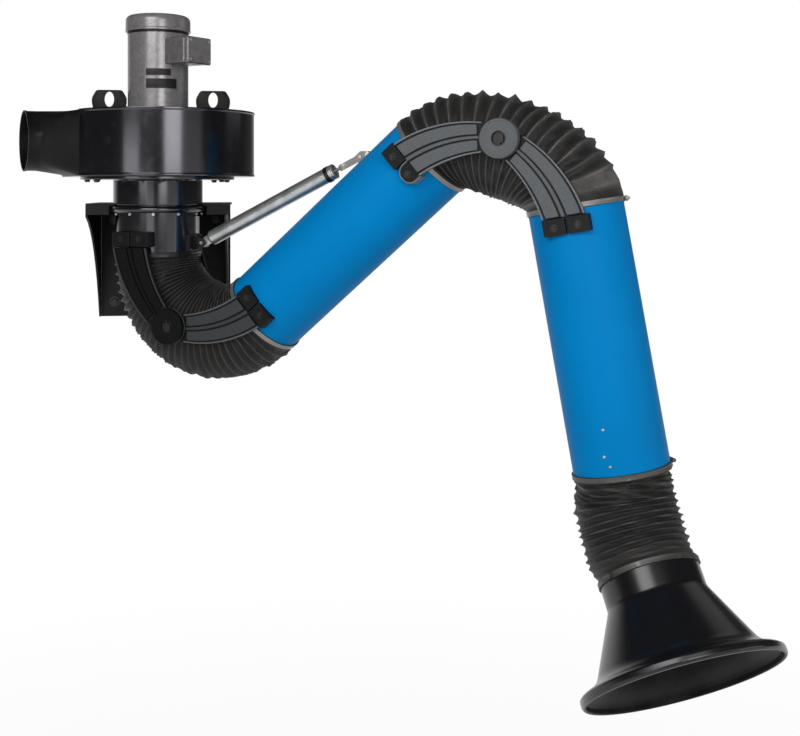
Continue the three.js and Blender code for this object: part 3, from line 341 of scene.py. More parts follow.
class Skin:
    """One piece's mesh, gathered from grids of points; neighbours in a grid are joined by quads."""

    def __init__(self):
        self.points, self.quads, self.maps, self.paints, self.folds = [], [], [], [], []
        self.count = 0

    def grid(self, points, at, wrap_rows=False, wrap_columns=True, paint=0, fold=None):
        """Adds a grid in the frame `at`. fold is one number per point, kept as an attribute."""
        rows, columns = points.shape[:2]
        index = self.count + np.arange(rows * columns).reshape(rows, columns)
        v, u = np.meshgrid(np.arange(rows + 1) / rows, np.arange(columns + 1) / columns, indexing="ij")
        if wrap_rows:
            index = np.vstack([index, index[:1]])
        if wrap_columns:
            index = np.hstack([index, index[:, :1]])
        uv = np.stack([u, v], -1)[:index.shape[0], :index.shape[1]]
        corners = (slice(None, -1), slice(None, -1)), (slice(None, -1), slice(1, None)), \
            (slice(1, None), slice(1, None)), (slice(1, None), slice(None, -1))
        self.quads.append(np.stack([index[c] for c in corners], -1).reshape(-1, 4))
        self.maps.append(np.stack([uv[c] for c in corners], -2).reshape(-1, 4, 2))
        self.paints.append(np.full(len(self.quads[-1]), paint))
        self.points.append(at(points).reshape(-1, 3))
        self.folds.append(np.zeros(rows * columns) if fold is None else np.broadcast_to(fold, (rows, columns)).ravel())
        self.count += rows * columns
        return self

    def bolt(self, at, radius, height, paint=0, sides=6, washer=1.5):
        """A bolt head on a washer, standing on the frame's z = 0."""
        if washer:
            plate = soft_corners([[0, 0], [radius * 1.5, 0], [radius * 1.5, washer], [0, washer]], 0.4, loop=False)
            self.grid(turn(plate, 24), at, paint=paint)
        head = [[0, washer], [radius, washer], [radius, washer + height * 0.85],
                [radius * 0.86, washer + height], [0, washer + height]]
        return self.grid(turn(head, sides), at, paint=paint)

    def screw(self, at, radius, height, paint=0):
        """A low round head with a socket in it, standing on the frame's z = 0."""
        head = soft_corners(
            [[0, 0], [radius, 0], [radius, height], [radius * 0.5, height], [radius * 0.5, height * 0.4],
             [0, height * 0.4]], radius * 0.18, loop=False)
        return self.grid(turn(head, 24), at, paint=paint)

    def object(self, name, *finishes, crease=38):
        """The finished object: doubles merged, faces turned outwards, edges over the crease angle kept sharp."""
        mesh = bpy.data.meshes.new(name)
        points = np.concatenate(self.points)
        quads = np.concatenate(self.quads)
        mesh.vertices.add(len(points))
        mesh.vertices.foreach_set("co", points.ravel())
        mesh.loops.add(quads.size)
        mesh.loops.foreach_set("vertex_index", quads.ravel())
        mesh.polygons.add(len(quads))
        mesh.polygons.foreach_set("loop_start", 4 * np.arange(len(quads)))
        mesh.polygons.foreach_set("material_index", np.concatenate(self.paints))
        mesh.update(calc_edges=True)
        mesh.uv_layers.new(name="surface").data.foreach_set("uv", np.concatenate(self.maps).ravel())
        fold = mesh.attributes.new("fold", "FLOAT", "POINT")
        fold.data.foreach_set("value", np.concatenate(self.folds).astype(np.float32))
        work = bmesh.new()
        work.from_mesh(mesh)
        bmesh.ops.remove_doubles(work, verts=work.verts, dist=2e-6)
        bmesh.ops.dissolve_degenerate(work, edges=work.edges, dist=1e-7)
        bmesh.ops.recalc_face_normals(work, faces=work.faces)
        work.to_mesh(mesh)
        work.free()
        mesh.polygons.foreach_set("use_smooth", np.ones(len(mesh.polygons), bool))
        mesh.set_sharp_from_angle(angle=math.radians(crease))
        for finish in finishes:
            mesh.materials.append(finish)
        thing = bpy.data.objects.new(name, mesh)
        bpy.context.scene.collection.objects.link(thing)
        return thing


def settle(thing, body, slot, *nodes):
    """Hangs a piece on its body and hides the solids that it stands for; the slot is not used."""
    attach(thing, body)
    if nodes:
        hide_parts(*nodes)
    return thing


# Finishes


class Value:
    """A shader socket in Python arithmetic: each operator adds one Math node."""

    def __init__(self, tree, socket):
        self.tree, self.socket = tree, socket

    def _math(self, operation, first, second):
        return self.tree.add("ShaderNodeMath", {"operation": operation}, {0: first, 1: second})

    def __add__(self, other):
        return self._math("ADD", self, other)

    def __sub__(self, other):
        return self._math("SUBTRACT", self, other)

    def __mul__(self, other):
        return self._math("MULTIPLY", self, other)

    def __rsub__(self, other):
        return self._math("SUBTRACT", other, self)

    def __gt__(self, other):
        return self._math("GREATER_THAN", self, other)

    def __pow__(self, other):
        return self._math("POWER", self, other)

    __radd__ = __add__
    __rmul__ = __mul__


class Tree:
    """A node tree that is written from Python."""

    def __init__(self, owner):
        owner.use_nodes = True
        self.nodes, self.links = owner.node_tree.nodes, owner.node_tree.links
        self.nodes.clear()

    def add(self, kind, settings=None, sockets=None, out=0):
        """One node: its settings first, then the values or links of its sockets. Returns one output."""
        node = self.nodes.new(kind)
        for key, value in (settings or {}).items():
            if key == "stops":
                ramp = node.color_ramp.elements
                while len(ramp) < len(value):
                    ramp.new(0.5)
                for stop, (position, colour) in zip(ramp, value):
                    stop.position = position
                    stop.color = (*colour, 1) if len(colour) == 3 else colour
            else:
                setattr(node, key, value)
        for key, value in (sockets or {}).items():
            if isinstance(value, Value):
                self.links.new(value.socket, node.inputs[key])
            else:
                node.inputs[key].default_value = value
        return Value(self, node.outputs[out]) if len(node.outputs) else node


class Finish(Tree):
    """One material: a Principled shader and what feeds it."""

    def __init__(self, name, **fixed):
        self.material = bpy.data.materials.new(name)
        super().__init__(self.material)
        self.shader = self.add("ShaderNodeBsdfPrincipled").socket.node
        self.output = self.add("ShaderNodeOutputMaterial", None, {"Surface": Value(self, self.shader.outputs[0])})
        self.where = self.add("ShaderNodeTexCoord", None, None, "Object")
        self.chart = self.add("ShaderNodeTexCoord", None, None, "UV")
        self.feed(**fixed)

    def feed(self, **sockets):
        """Sets or links sockets of the shader: base_color feeds Base Color, and so on."""
        names = {socket.name.lower().replace(" ", "_"): socket.name for socket in self.shader.inputs}
        for key, value in sockets.items():
            socket = self.shader.inputs[names[key]]
            if isinstance(value, Value):
                self.links.new(value.socket, socket)
            else:
                socket.default_value = value
        return self

    def noise(self, scale, detail=3.0, where=None, stretch=None, roughness=0.55):
        """Fractal noise, about 0 to 1, at so many features a metre."""
        at = where or self.where
        if stretch:
            at = self.add("ShaderNodeMapping", None, {"Vector": at, "Scale": stretch})
        return self.add(
            "ShaderNodeTexNoise", {"noise_dimensions": "3D"},
            {"Vector": at, "Scale": scale, "Detail": detail, "Roughness": roughness})

    def cells(self, scale):
        """Distance to the nearest of scattered points, for grain and crystals."""
        return self.add("ShaderNodeTexVoronoi", {"feature": "F1"}, {"Vector": self.where, "Scale": scale})

    def ramp(self, value, *stops):
        return self.add("ShaderNodeValToRGB", {"stops": stops}, {"Fac": value})

    def blend(self, share, first, second):
        """A colour between two."""
        return self.add(
            "ShaderNodeMix", {"data_type": "RGBA"},
            {0: share, 6: first if isinstance(first, Value) else (*first, 1),
             7: second if isinstance(second, Value) else (*second, 1)}, 2)

    def clamp(self, value, low, high, to_low=0.0, to_high=1.0):
        """value moved from one range to another and held there."""
        return self.add(
            "ShaderNodeMapRange", {"clamp": True},
            {"Value": value, "From Min": low, "From Max": high, "To Min": to_low, "To Max": to_high})

    def bump(self, height, distance, strength=1.0, normal=None):
        sockets = {"Height": height, "Distance": distance, "Strength": strength}
        if normal:
            sockets["Normal"] = normal
        return self.add("ShaderNodeBump", None, sockets)


def shade(colour, factor):
    return tuple(min(1.0, part * factor) for part in colour)


FINISHES = {}


def finish(name):
    """A finish by name, made the first time that it is asked for."""
    if name not in FINISHES:
        FINISHES[name] = MAKERS[name](bpy.context.scene.arm_finishes).material
    return FINISHES[name]


def black_paint(colours):
    """Gloss black on blower, neck and swivel: faint orange peel, cloudy gloss and settled dust."""
    paint = Finish("black_paint", specular_ior_level=0.8, specular_tint=(0.92, 0.92, 1, 1))
    cloud = paint.noise(7, 4)
    dust = paint.clamp(paint.noise(46, 5), 0.52, 0.88)
    base = tuple(colours.black)
    paint.feed(
        base_color=paint.blend(dust * 0.5, base, shade(base, 3)),
        roughness=0.14 + 0.05 * cloud + 0.08 * dust,
        normal=paint.bump(paint.noise(420, 2), 0.00015, 0.25))
    return paint


def bracket_black(colours):
    """Dull black on the wall bracket: a dry powder coat with worn, greyer patches."""
    paint = Finish("bracket_black", specular_ior_level=0.18)
    base = tuple(colours.black)
    worn = paint.clamp(paint.noise(38, 5), 0.5, 0.85)
    paint.feed(
        base_color=paint.blend(worn * 0.5, base, shade(base, 3)),
        roughness=0.46 + 0.14 * worn,
        normal=paint.bump(paint.noise(500, 3), 0.0003, 0.35))
    return paint


def blue_paint(colours):
    """Satin blue powder coat: fine peel, slow changes of tone, a few light scuffs."""
    paint = Finish("blue_paint", specular_ior_level=0.04)
    base = tuple(colours.blue)
    cloud = paint.noise(5, 4)
    scuff = paint.clamp(paint.noise(60, 4, stretch=(1, 1, 0.25)), 0.66, 0.8)
    tone = paint.blend(paint.clamp(cloud, 0.3, 0.7), shade(base, 0.95), shade(base, 1.05))
    paint.feed(
        base_color=paint.blend(scuff * 0.05, tone, (0.06, 0.27, 0.52)),
        roughness=0.4 + 0.1 * cloud + 0.1 * scuff,
        normal=paint.bump(paint.noise(650, 2), 0.00018, 0.4))
    return paint


def grey_enamel(colours, name="grey_enamel", level=1.0):
    """Motor enamel: metallic grey with a stippled surface and small dark flecks."""
    paint = Finish(name, specular_ior_level=0.5, metallic=0.3)
    base = shade(colours.grey, level)
    cloud = paint.noise(9, 5)
    fleck = paint.clamp(paint.noise(520, 3), 0.58, 0.75)
    grime = paint.clamp(paint.noise(75, 6, roughness=0.7), 0.42, 0.66)
    tone = paint.blend(grime, shade(base, 1.12), shade(base, 0.78))
    paint.feed(
        base_color=paint.blend(fleck * 0.3, tone, shade(base, 0.5)),
        roughness=0.2 + 0.12 * cloud,
        normal=paint.bump(paint.noise(300, 4), 0.0004, 0.3))
    return paint


def grey_box(colours):
    """The terminal box's enamel, darkened as a painted shade over the whole box."""
    return grey_enamel(colours, "grey_box", 0.74)


def pad_grain(colours, name="pad_grain", level=1.0, sheen=0.4):
    """Grained grey moulding: pebbled bump, lighter on the high spots."""
    paint = Finish(name, specular_ior_level=sheen)
    base = shade(colours.pad, level)
    grain = paint.noise(430, 4, roughness=0.7)
    cloud = paint.noise(24, 3)
    tone = paint.blend(paint.clamp(grain, 0.34, 0.66), shade(base, 0.7), shade(base, 1.3))
    paint.feed(
        base_color=paint.blend(cloud * 0.3, tone, shade(base, 0.85)),
        roughness=0.45 + 0.25 * grain,
        normal=paint.bump(grain, 0.0009, 0.5))
    return paint


def pad_dark(colours):
    """The shoulder's pads, moulded darker."""
    return pad_grain(colours, "pad_dark", 0.3)


def pad_black(colours):
    """The swivel side's pads, nearly black."""
    return pad_grain(colours, "pad_black", 0.04, 0.1)


def pad_rim(colours):
    """The pads' raised edges, rubbed paler; on the hood's lip this pale finish is a painted highlight."""
    return pad_grain(colours, "pad_rim", 1.6)


def moulded_black(colours):
    """Black moulding of the links' bodies and feet, with a low sheen."""
    paint = Finish("moulded_black", specular_ior_level=0.16)
    grain = paint.noise(500, 3)
    paint.feed(
        base_color=paint.blend(paint.noise(30, 3), (0.003, 0.003, 0.0033), (0.007, 0.0069, 0.0069)),
        roughness=0.3 + 0.16 * grain,
        normal=paint.bump(grain, 0.0003, 0.35))
    return paint


def hose_cloth(colours, name="hose_cloth", level=1.0):
    """Coated cloth with a fine weave and creases, with painted shade in the folds and a painted highlight on the
    ridges.
    """
    paint = Finish(name, specular_ior_level=0.4 * level, sheen_weight=0.05)
    base = shade(colours.cloth, level)
    fold = paint.add("ShaderNodeAttribute", {"attribute_name": "fold"}, None, "Fac")
    cloud = paint.noise(26, 5)
    weave = paint.noise(900, 2)
    crease = paint.noise(70, 4, roughness=0.65)
    # The fold attribute is turned into painted light: painted shade where it is low (folds, cuffs, inside) and a
    # painted highlight where it is high, on the ridges.
    lit = paint.clamp(fold + 0.3 * cloud, 0.1, 1.15)
    tone = paint.ramp(lit, (0.0, shade(base, 0.05)), (0.45, shade(base, 0.3)), (0.75, shade(base, 0.9)), (1.0, shade(base, 2.8)))
    paint.feed(
        base_color=paint.blend(paint.clamp(weave, 0.3, 0.7) * 0.25, tone, shade(base, 0.4)),
        roughness=0.5 + 0.2 * cloud,
        normal=paint.bump(weave, 0.0003, 0.35, paint.bump(crease, 0.004, 0.6)))
    return paint


def hose_dark(colours):
    """The shoulder's cloth, darkened as painted shade, with a lower specular level."""
    return hose_cloth(colours, "hose_dark", 0.72)


def hose_hood(colours):
    """The hood's cloth, a little darker."""
    return hose_cloth(colours, "hose_hood", 0.8)


def zinc_plate(colours):
    """Zinc plating: soft drawn lines along the bar and cloudy, faintly green-grey metal."""
    paint = Finish("zinc_plate", metallic=0.85)
    base = tuple(colours.zinc)
    drawn = paint.noise(60, 3, where=paint.chart, stretch=(9, 0.4, 1))
    cloud = paint.noise(30, 5)
    paint.feed(
        base_color=paint.blend(paint.clamp(cloud, 0.3, 0.7), shade(base, 0.8), shade(base, 1.2)),
        roughness=0.22 + 0.1 * cloud + 0.1 * drawn,
        normal=paint.bump(drawn, 0.0003, 0.3))
    return paint


def bright_steel(colours):
    """Plated steel of rivets, yokes and the fan, warm with handling and darker in patches."""
    paint = Finish("bright_steel", metallic=0.95)
    base = tuple(colours.steel)
    cloud = paint.noise(55, 5)
    tarnish = paint.clamp(paint.noise(130, 4), 0.55, 0.8)
    tone = paint.blend(cloud, shade(base, 0.7), shade(base, 1.3))
    paint.feed(
        base_color=paint.blend(tarnish * 0.5, tone, (0.2, 0.15, 0.105)),
        roughness=0.24 + 0.22 * cloud,
        normal=paint.bump(paint.noise(700, 2), 0.0002, 0.3))
    return paint


def galvanised(colours, name="galvanised", level=0.52):
    """Dull galvanised bands: grey-tan with a patchy bloom, and brighter spots that are partly rubbed metal and partly
    painted glints.
    """
    paint = Finish(name, metallic=0.7)
    base = shade(colours.steel, level)
    cloud = paint.noise(40, 5)
    # Bright spots, partly rubbed metal and partly painted glints.
    rubbed_and_glint = paint.clamp(paint.noise(28, 3), 0.6, 0.72)
    tone = paint.blend(cloud, shade(base, 0.6), shade(base, 1.25))
    paint.feed(
        base_color=paint.blend(rubbed_and_glint * 0.8, tone, shade(base, 3.4)),
        roughness=0.42 + 0.2 * cloud,
        normal=paint.bump(paint.noise(500, 3), 0.0003, 0.35))
    return paint


def galvanised_dark(colours):
    """The hood hose's bands, darker with fume."""
    return galvanised(colours, "galvanised_dark", 0.2)


def hood_gloss(colours):
    """Glossy black spun hood: faint turning marks and a film of dust."""
    paint = Finish("hood_gloss", specular_ior_level=0.5)
    cloud = paint.noise(8, 4)
    dust = paint.clamp(paint.noise(80, 5), 0.52, 0.88)
    base = tuple(colours.black)
    paint.feed(
        base_color=paint.blend(dust * 0.2, base, shade(base, 3)),
        roughness=0.22 + 0.08 * cloud,
        normal=paint.bump(paint.noise(260, 2), 0.00015, 0.2))
    return paint


def hood_inside(colours):
    """Dull black inside the hood, with a cloudy film of fume."""
    paint = Finish("hood_inside", specular_ior_level=0.15)
    cloud = paint.noise(14, 4)
    base = tuple(colours.black)
    paint.feed(
        base_color=paint.blend(paint.clamp(cloud, 0.45, 0.7), shade(base, 0.5), shade(base, 3)),
        roughness=0.36 + 0.2 * cloud)
    return paint


def label_plate(colours):
    """Blank dark plate with a thin bare edge; round the motor just under the fan cover this dark finish is a painted
    shadow.
    """
    paint = Finish("label_plate", specular_ior_level=0.22)
    worn = paint.clamp(paint.noise(240, 5), 0.5, 0.8)
    paint.feed(
        base_color=paint.blend(worn * 0.4, (0.009, 0.008, 0.0082), (0.05, 0.045, 0.045)),
        roughness=0.4 + 0.2 * worn,
        normal=paint.bump(worn, 0.0002, 0.3))
    return paint


def friction_lining(colours):
    """Pressed friction lining, brown with fibres."""
    paint = Finish("friction_lining", specular_ior_level=0.2)
    fibre = paint.noise(500, 4, stretch=(1, 1, 3))
    paint.feed(
        base_color=paint.blend(fibre, (0.05, 0.035, 0.024), (0.2, 0.16, 0.12)),
        roughness=0.8 + 0.15 * fibre,
        normal=paint.bump(fibre, 0.0005, 0.5))
    return paint


def dark_fitting(colours):
    """Blackened steel of bolts and the strut's end ring; lining the pivot discs' recesses it is painted shade."""
    paint = Finish("dark_fitting", metallic=0.7)
    cloud = paint.noise(90, 4)
    paint.feed(
        base_color=paint.blend(cloud, (0.008, 0.008, 0.0085), (0.04, 0.0385, 0.037)),
        roughness=0.24 + 0.2 * cloud)
    return paint


MAKERS = {
    maker.__name__: maker for maker in (
        black_paint, bracket_black, blue_paint, grey_enamel, grey_box, pad_grain, pad_dark, pad_black, pad_rim, moulded_black,
        hose_cloth, hose_dark, hose_hood,
        zinc_plate, bright_steel, galvanised, galvanised_dark, hood_gloss, hood_inside,
        label_plate, friction_lining, dark_fitting)
}


def coat_solids(name, *nodes):
    """Gives solids that are kept as they are a finish."""
    for node in nodes:
        frame["nodes"][node].material_slots[0].material = finish(name)


# Stage


def soft_box(name, place, aim, size, power):
    """A rectangular soft light that looks at a point."""
    light = bpy.data.lights.new(name, "AREA")
    light.shape = "RECTANGLE"
    light.size, light.size_y = size
    light.energy = power
    lamp = bpy.data.objects.new(name, light)
    bpy.context.scene.collection.objects.link(lamp)
    z = np.array(place, float) - np.array(aim, float)
    z /= np.linalg.norm(z)
    x = np.cross((0, 0, 1), z) if abs(z[2]) < 0.99 else np.array([1.0, 0, 0])
    x /= np.linalg.norm(x)
    matrix = np.eye(4)
    matrix[:3, :3] = np.stack([x, np.cross(z, x), z], -1)
    matrix[:3, 3] = place
    lamp.matrix_world = Matrix(matrix.tolist())
    lamp.visible_camera = False


CAMERA_PLACE = (0.2323, -3.2524, 0.187)
CAMERA_TURN = -7
CAMERA_LENS = 53.64
HORIZON_ROW = 190
STAGE_AIM = (0.35, -0.6, -0.1)


class ARM_OT_stage(bpy.types.Operator):
    """Camera at the photograph's place, pale floor, white room and soft lights"""

    bl_idname = "arm.stage"
    bl_label = "Studio"

    def execute(self, context):
        studio = context.scene.arm_studio
        context.scene.view_settings.view_transform = "Standard"
        width, height = IMAGE_SIZE
        lens = bpy.data.cameras.new("photo_camera")
        lens.sensor_width = 36
        lens.lens = CAMERA_LENS
        lens.shift_y = (HORIZON_ROW - height / 2) / width
        lens.clip_end = 200
        camera = bpy.data.objects.new("photo_camera", lens)
        context.scene.collection.objects.link(camera)
        camera.location = CAMERA_PLACE
        camera.rotation_euler = (math.radians(90), 0, math.radians(CAMERA_TURN))
        context.scene.camera = camera

        soft_box("key", (0.97, -3.45, 0.72), STAGE_AIM, (1.2, 1.1), studio.key_power)
        soft_box("wide", (2.1, -2.8, 0.0), STAGE_AIM, (1.4, 1.3), studio.wide_power)
        soft_box("front", (-0.85, -2.9, 1.35), STAGE_AIM, (1.8, 1.2), studio.front_power)
        soft_box("fill", (-1.62, -2.79, 0.31), STAGE_AIM, (1.0, 0.22), studio.fill_power)
        soft_box("low", (-0.79, -3.08, -0.15), STAGE_AIM, (1.0, 0.7), studio.low_power)
        soft_box("side", (2.9, -1.9, -0.2), STAGE_AIM, (1.2, 0.6), studio.side_power)
        soft_box("rim", (2.7, 0.2, 1.15), STAGE_AIM, (1.4, 1.4), studio.rim_power)

        world = bpy.data.worlds.new("white_room")
        context.scene.world = world
        room = Tree(world)
        ray = room.add("ShaderNodeLightPath").socket.node
        camera_ray, glossy_ray, clear_ray = (
            Value(room, ray.outputs[f"Is {kind} Ray"]) for kind in ("Camera", "Glossy", "Transmission"))
        sky = room.add("ShaderNodeTexCoord", None, None, "Generated")
        axes = room.add("ShaderNodeSeparateXYZ", None, {"Vector": sky}).socket.node
        wall = room.add("ShaderNodeMapRange", {"clamp": True}, {
            "Value": Value(room, axes.outputs["Y"]), "From Min": 0.5, "From Max": 0.85})
        low = room.add("ShaderNodeMapRange", {"clamp": True}, {
            "Value": Value(room, axes.outputs["Z"]), "From Min": 0.42, "From Max": 0.08})
        right = room.add("ShaderNodeMapRange", {"clamp": True}, {
            "Value": Value(room, axes.outputs["X"]), "From Min": -0.1, "From Max": 0.45, "To Min": 1.0, "To Max": 0.06})
        mirrored = studio.room_gloss + wall * low * right * (1 - studio.room_gloss)
        direct = camera_ray + clear_ray
        bounced = (1 - direct) * (1 - glossy_ray)
        strength = direct + glossy_ray * mirrored + bounced * studio.room_light
        glow = room.add("ShaderNodeBackground", None, {"Color": (1, 1, 1, 1), "Strength": strength})
        room.add("ShaderNodeOutputWorld", None, {"Surface": glow})

        floor = Skin()
        reach = 30000
        flat = np.array([[[-reach, -reach, 0], [reach, -reach, 0]], [[-reach, reach, 0], [reach, reach, 0]]])
        floor.grid(flat, Place((0, 0, studio.floor_drop), np.eye(3)), wrap_columns=False)
        pale = Finish("pale_floor", roughness=0.9, specular_ior_level=0.1)
        pale.feed(base_color=pale.blend(pale.noise(3, 3), (0.93, 0.93, 0.93), (0.96, 0.96, 0.96)))
        ray = pale.add("ShaderNodeLightPath").socket.node
        seen = (Value(pale, ray.outputs["Is Camera Ray"]) + Value(pale, ray.outputs["Is Glossy Ray"])
                + Value(pale, ray.outputs["Is Transmission Ray"]))
        white = pale.add("ShaderNodeEmission", None, {"Color": (1, 1, 1, 1), "Strength": 1.0})
        away = pale.add("ShaderNodeVectorMath", {"operation": "DISTANCE"}, {
            0: pale.where, 1: (STAGE_AIM[0], STAGE_AIM[1], studio.floor_drop)}, "Value")
        share = studio.floor_white + pale.clamp(away, 1.5, 4.5) * (1 - studio.floor_white)
        mixed = pale.add("ShaderNodeMixShader", None, {
            0: seen * share, 1: Value(pale, pale.shader.outputs[0]), 2: white})
        pale.links.new(mixed.socket, pale.output.inputs["Surface"])
        floor.object("floor", pale.material)
        return {"FINISHED"}


# Wall bracket


class ARM_OT_bracket(bpy.types.Operator):
    """Wall plate, shelf and gussets keep their flat solids; anchor bolts are added"""

    bl_idname = "arm.bracket"
    bl_label = "Wall Bracket"

    def execute(self, context):
        coat_solids("bracket_black", "wall_plate", "shelf_plate", "gusset_left", "gusset_right")
        bolts = Skin()
        lowest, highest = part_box("wall_plate")
        face = lowest.y
        inset = (35 * MM, 39 * MM)
        for x in (lowest.x + inset[0], highest.x - inset[0]):
            for z in (lowest.z + inset[1], highest.z - inset[1]):
                bolts.bolt(Place((x, face, z), [(1, 0, 0), (0, 0, 1), (0, -1, 0)]), 9.5, 8, washer=2.5)
        settle(bolts.object("anchor_bolts", finish("dark_fitting")), "base", "steel")
        return {"FINISHED"}


# Blower


SCROLL_LEFT = 204
SCROLL_GROWTH = 32
SCROLL_MOST = 253
SCROLL_SPAN = (197, 498)
THROAT_X = -200
THROAT_Y = (-53.5, 155.8)
OUTLET_X = -306
OUTLET_MIDDLE = (80, 118)
OUTLET_COLLAR = 28
OUTLET_RADIUS = 72
FLANGE_RADIUS = 185


def scroll_radius(degrees):
    """The spiral grows evenly with the angle up to its largest radius."""
    return np.minimum(SCROLL_LEFT + (degrees - 180) / 180 * SCROLL_GROWTH, SCROLL_MOST)


def scroll_wall():
    """The spiral band: a section with rolled rims carried along the outline, set out along its normal."""
    degrees = np.linspace(*SCROLL_SPAN, 300)
    spiral = scroll_radius(degrees)[:, None] * np.stack(
        [np.cos(np.radians(degrees)), np.sin(np.radians(degrees))], -1)
    front = np.linspace((THROAT_X, THROAT_Y[0]), spiral[0], 4)[:-1]
    back = np.linspace(spiral[-1], (THROAT_X, THROAT_Y[1]), 6)[1:]
    line = np.concatenate([front, spiral, back])
    ahead = np.gradient(line, axis=0)
    ahead /= np.linalg.norm(ahead, axis=1)[:, None]
    outward = np.stack([ahead[:, 1], -ahead[:, 0]], -1)
    low, high = HOUSING
    section = held(soft_corners(
        [[-2.2, low - 0.4], [2.0, low - 0.4], [2.0, low + 4.5], [0.5, low + 6], [0.5, high - 6], [2.0, high - 4.5],
         [2.0, high + 0.4], [-2.2, high + 0.4]], 0.9), True)
    flat = line[:, None] + outward[:, None] * section[None, :, :1]
    level = np.broadcast_to(section[None, :, 1:], flat.shape[:2] + (1,))
    return capped(np.concatenate([flat, level], -1))


def outlet_rings(inset):
    """Square at the throat and round at the mouth: each ring is a mix of the two, set in by the inset."""
    half_wide = (THROAT_Y[1] - THROAT_Y[0]) / 2
    half_tall = (HOUSING[1] - HOUSING[0]) / 2
    step = np.linspace(0, 1, 15)[:, None]
    x = THROAT_X + (OUTLET_X + OUTLET_COLLAR - THROAT_X) * step
    x = np.concatenate([x, [[OUTLET_X + 7]], [[OUTLET_X + 3]], [[OUTLET_X]]])
    step = np.concatenate([step, np.ones((3, 1))])
    lip = np.concatenate([np.zeros((15, 1)), [[0.0], [1.5], [1.5]]]) * (1 if inset == 0 else 0)
    angle = 2 * np.pi * (np.arange(96) + 0.5)[None] / 96
    c, s = np.cos(angle), np.sin(angle)
    square = (np.abs(c) ** 14 + np.abs(s) ** 14) ** (-1 / 14)
    y = ((half_wide - inset) * square * (1 - step) + (OUTLET_RADIUS - inset + lip) * step) * c
    z = ((half_tall - inset) * square * (1 - step) + (OUTLET_RADIUS - inset + lip) * step) * s
    y = y + (THROAT_Y[0] + half_wide) * (1 - step) + OUTLET_MIDDLE[0] * step
    z = z + (HOUSING[0] + half_tall) * (1 - step) + OUTLET_MIDDLE[1] * step
    return np.stack([np.broadcast_to(x, y.shape), y, z], -1)


def even_loop(points, count):
    """A closed outline sampled at even distances along it."""
    loop = np.vstack([points, points[:1]])
    reach = np.concatenate([[0], np.cumsum(np.linalg.norm(np.diff(loop, axis=0), axis=1))])
    at = np.linspace(0, reach[-1], count, endpoint=False)
    return np.stack([np.interp(at, reach, loop[:, k]) for k in range(loop.shape[1])], -1)


def lug_plate(thick):
    """A chamfered plate round an oval eye: rings from the outline to the eye and back on the other face."""
    outline = even_loop(soft_corners(
        [[-36, 0], [36, 0], [41.5, 21], [41.5, 35], [30.5, 54], [-30.5, 54], [-41.5, 35], [-41.5, 21]], 6, 8), 120)
    eye_middle = np.array([0, 31.3])
    angle = np.arctan2(outline[:, 1] - eye_middle[1], outline[:, 0])
    eye = eye_middle + np.stack([11.5 * np.cos(angle), 18.5 * np.sin(angle)], -1)
    inner = outline + (eye_middle - outline) * 0.03
    eye_edge = eye + (eye - eye_middle) * 0.06
    half = thick / 2
    rings = [(outline, half - 0.8), (inner, half), (eye_edge, half), (eye, half - 0.8), (eye, 0.8 - half),
             (eye_edge, -half), (inner, -half), (outline, 0.8 - half)]
    return np.array([np.column_stack([ring[:, 0], np.full(len(ring), level), ring[:, 1]]) for ring, level in rings])


class ARM_OT_blower(bpy.types.Operator):
    """Blower scroll, outlet, inlet flange with its bolts, and lifting lugs"""

    bl_idname = "arm.blower"
    bl_label = "Blower"

    def execute(self, context):
        black = finish("black_paint")
        coat_solids("black_paint", "blower_top_plate", "blower_bottom_plate")
        settle(Skin().grid(scroll_wall(), FAN).object("blower_scroll", black), "base", "black_paint", "scroll_wall")
        duct = Skin().grid(np.concatenate([outlet_rings(0), outlet_rings(2.5)[::-1]]), FAN, wrap_rows=True)
        settle(duct.object("blower_outlet", finish("bracket_black")), "base", "black_paint", "outlet_duct")

        low = HOUSING[0]
        flange = soft_corners(
            [[90, low - 8], [FLANGE_RADIUS, low - 8], [FLANGE_RADIUS, low - 0.3], [92, low - 0.3], [90, 60], [87, 60]],
            1.2)
        inlet = Skin().grid(turn(flange, 160), TOWER, wrap_rows=True)
        for degrees in np.arange(12) * 30 + 8:
            x, y = 168 * heading(degrees)
            under = TOWER.within((x, y, low - 8), (1, 0, 0), (0, -1, 0), (0, 0, -1))
            inlet.bolt(under, 6, 4.5, paint=1)
        settle(inlet.object("inlet_flange", black, finish("dark_fitting")), "base", "black_paint", "inlet_ring")

        top = HOUSING[1]
        for name, x in (("lug_left", -117), ("lug_right", 133)):
            lug = Skin().grid(lug_plate(8), TOWER.within((x, 0, top), (1, 0, 0), (0, 1, 0), (0, 0, 1)), wrap_rows=True)
            foot = slab([x - 34, x + 34], [-24, -3.5], [top, top + 5], 1.2)
            lug.grid(foot, TOWER)
            for side in (-22, 22):
                lug.bolt(TOWER.within((x + side, -15, top + 5), (1, 0, 0), (0, 1, 0), (0, 0, 1)), 5.5, 4, paint=1)
            settle(lug.object("lifting_" + name, finish("bracket_black"), finish("dark_fitting")), "base", "black_paint", name)
        return {"FINISHED"}


# Motor


MOTOR_RADIUS = 73
MOTOR_TOP = 390
COVER_RADIUS = 78
COVER_SPAN = (385, 425)
TERMINAL_TURN = -40.5
TERMINAL_REACH = (60, 124, 138)
TERMINAL_HALF = 41
TERMINAL_SPAN = (301, 365)
LABELS = {"motor_label_upper": ((-108, -62), (275, 291)), "motor_label_lower": ((-108, -50), (244, 267))}


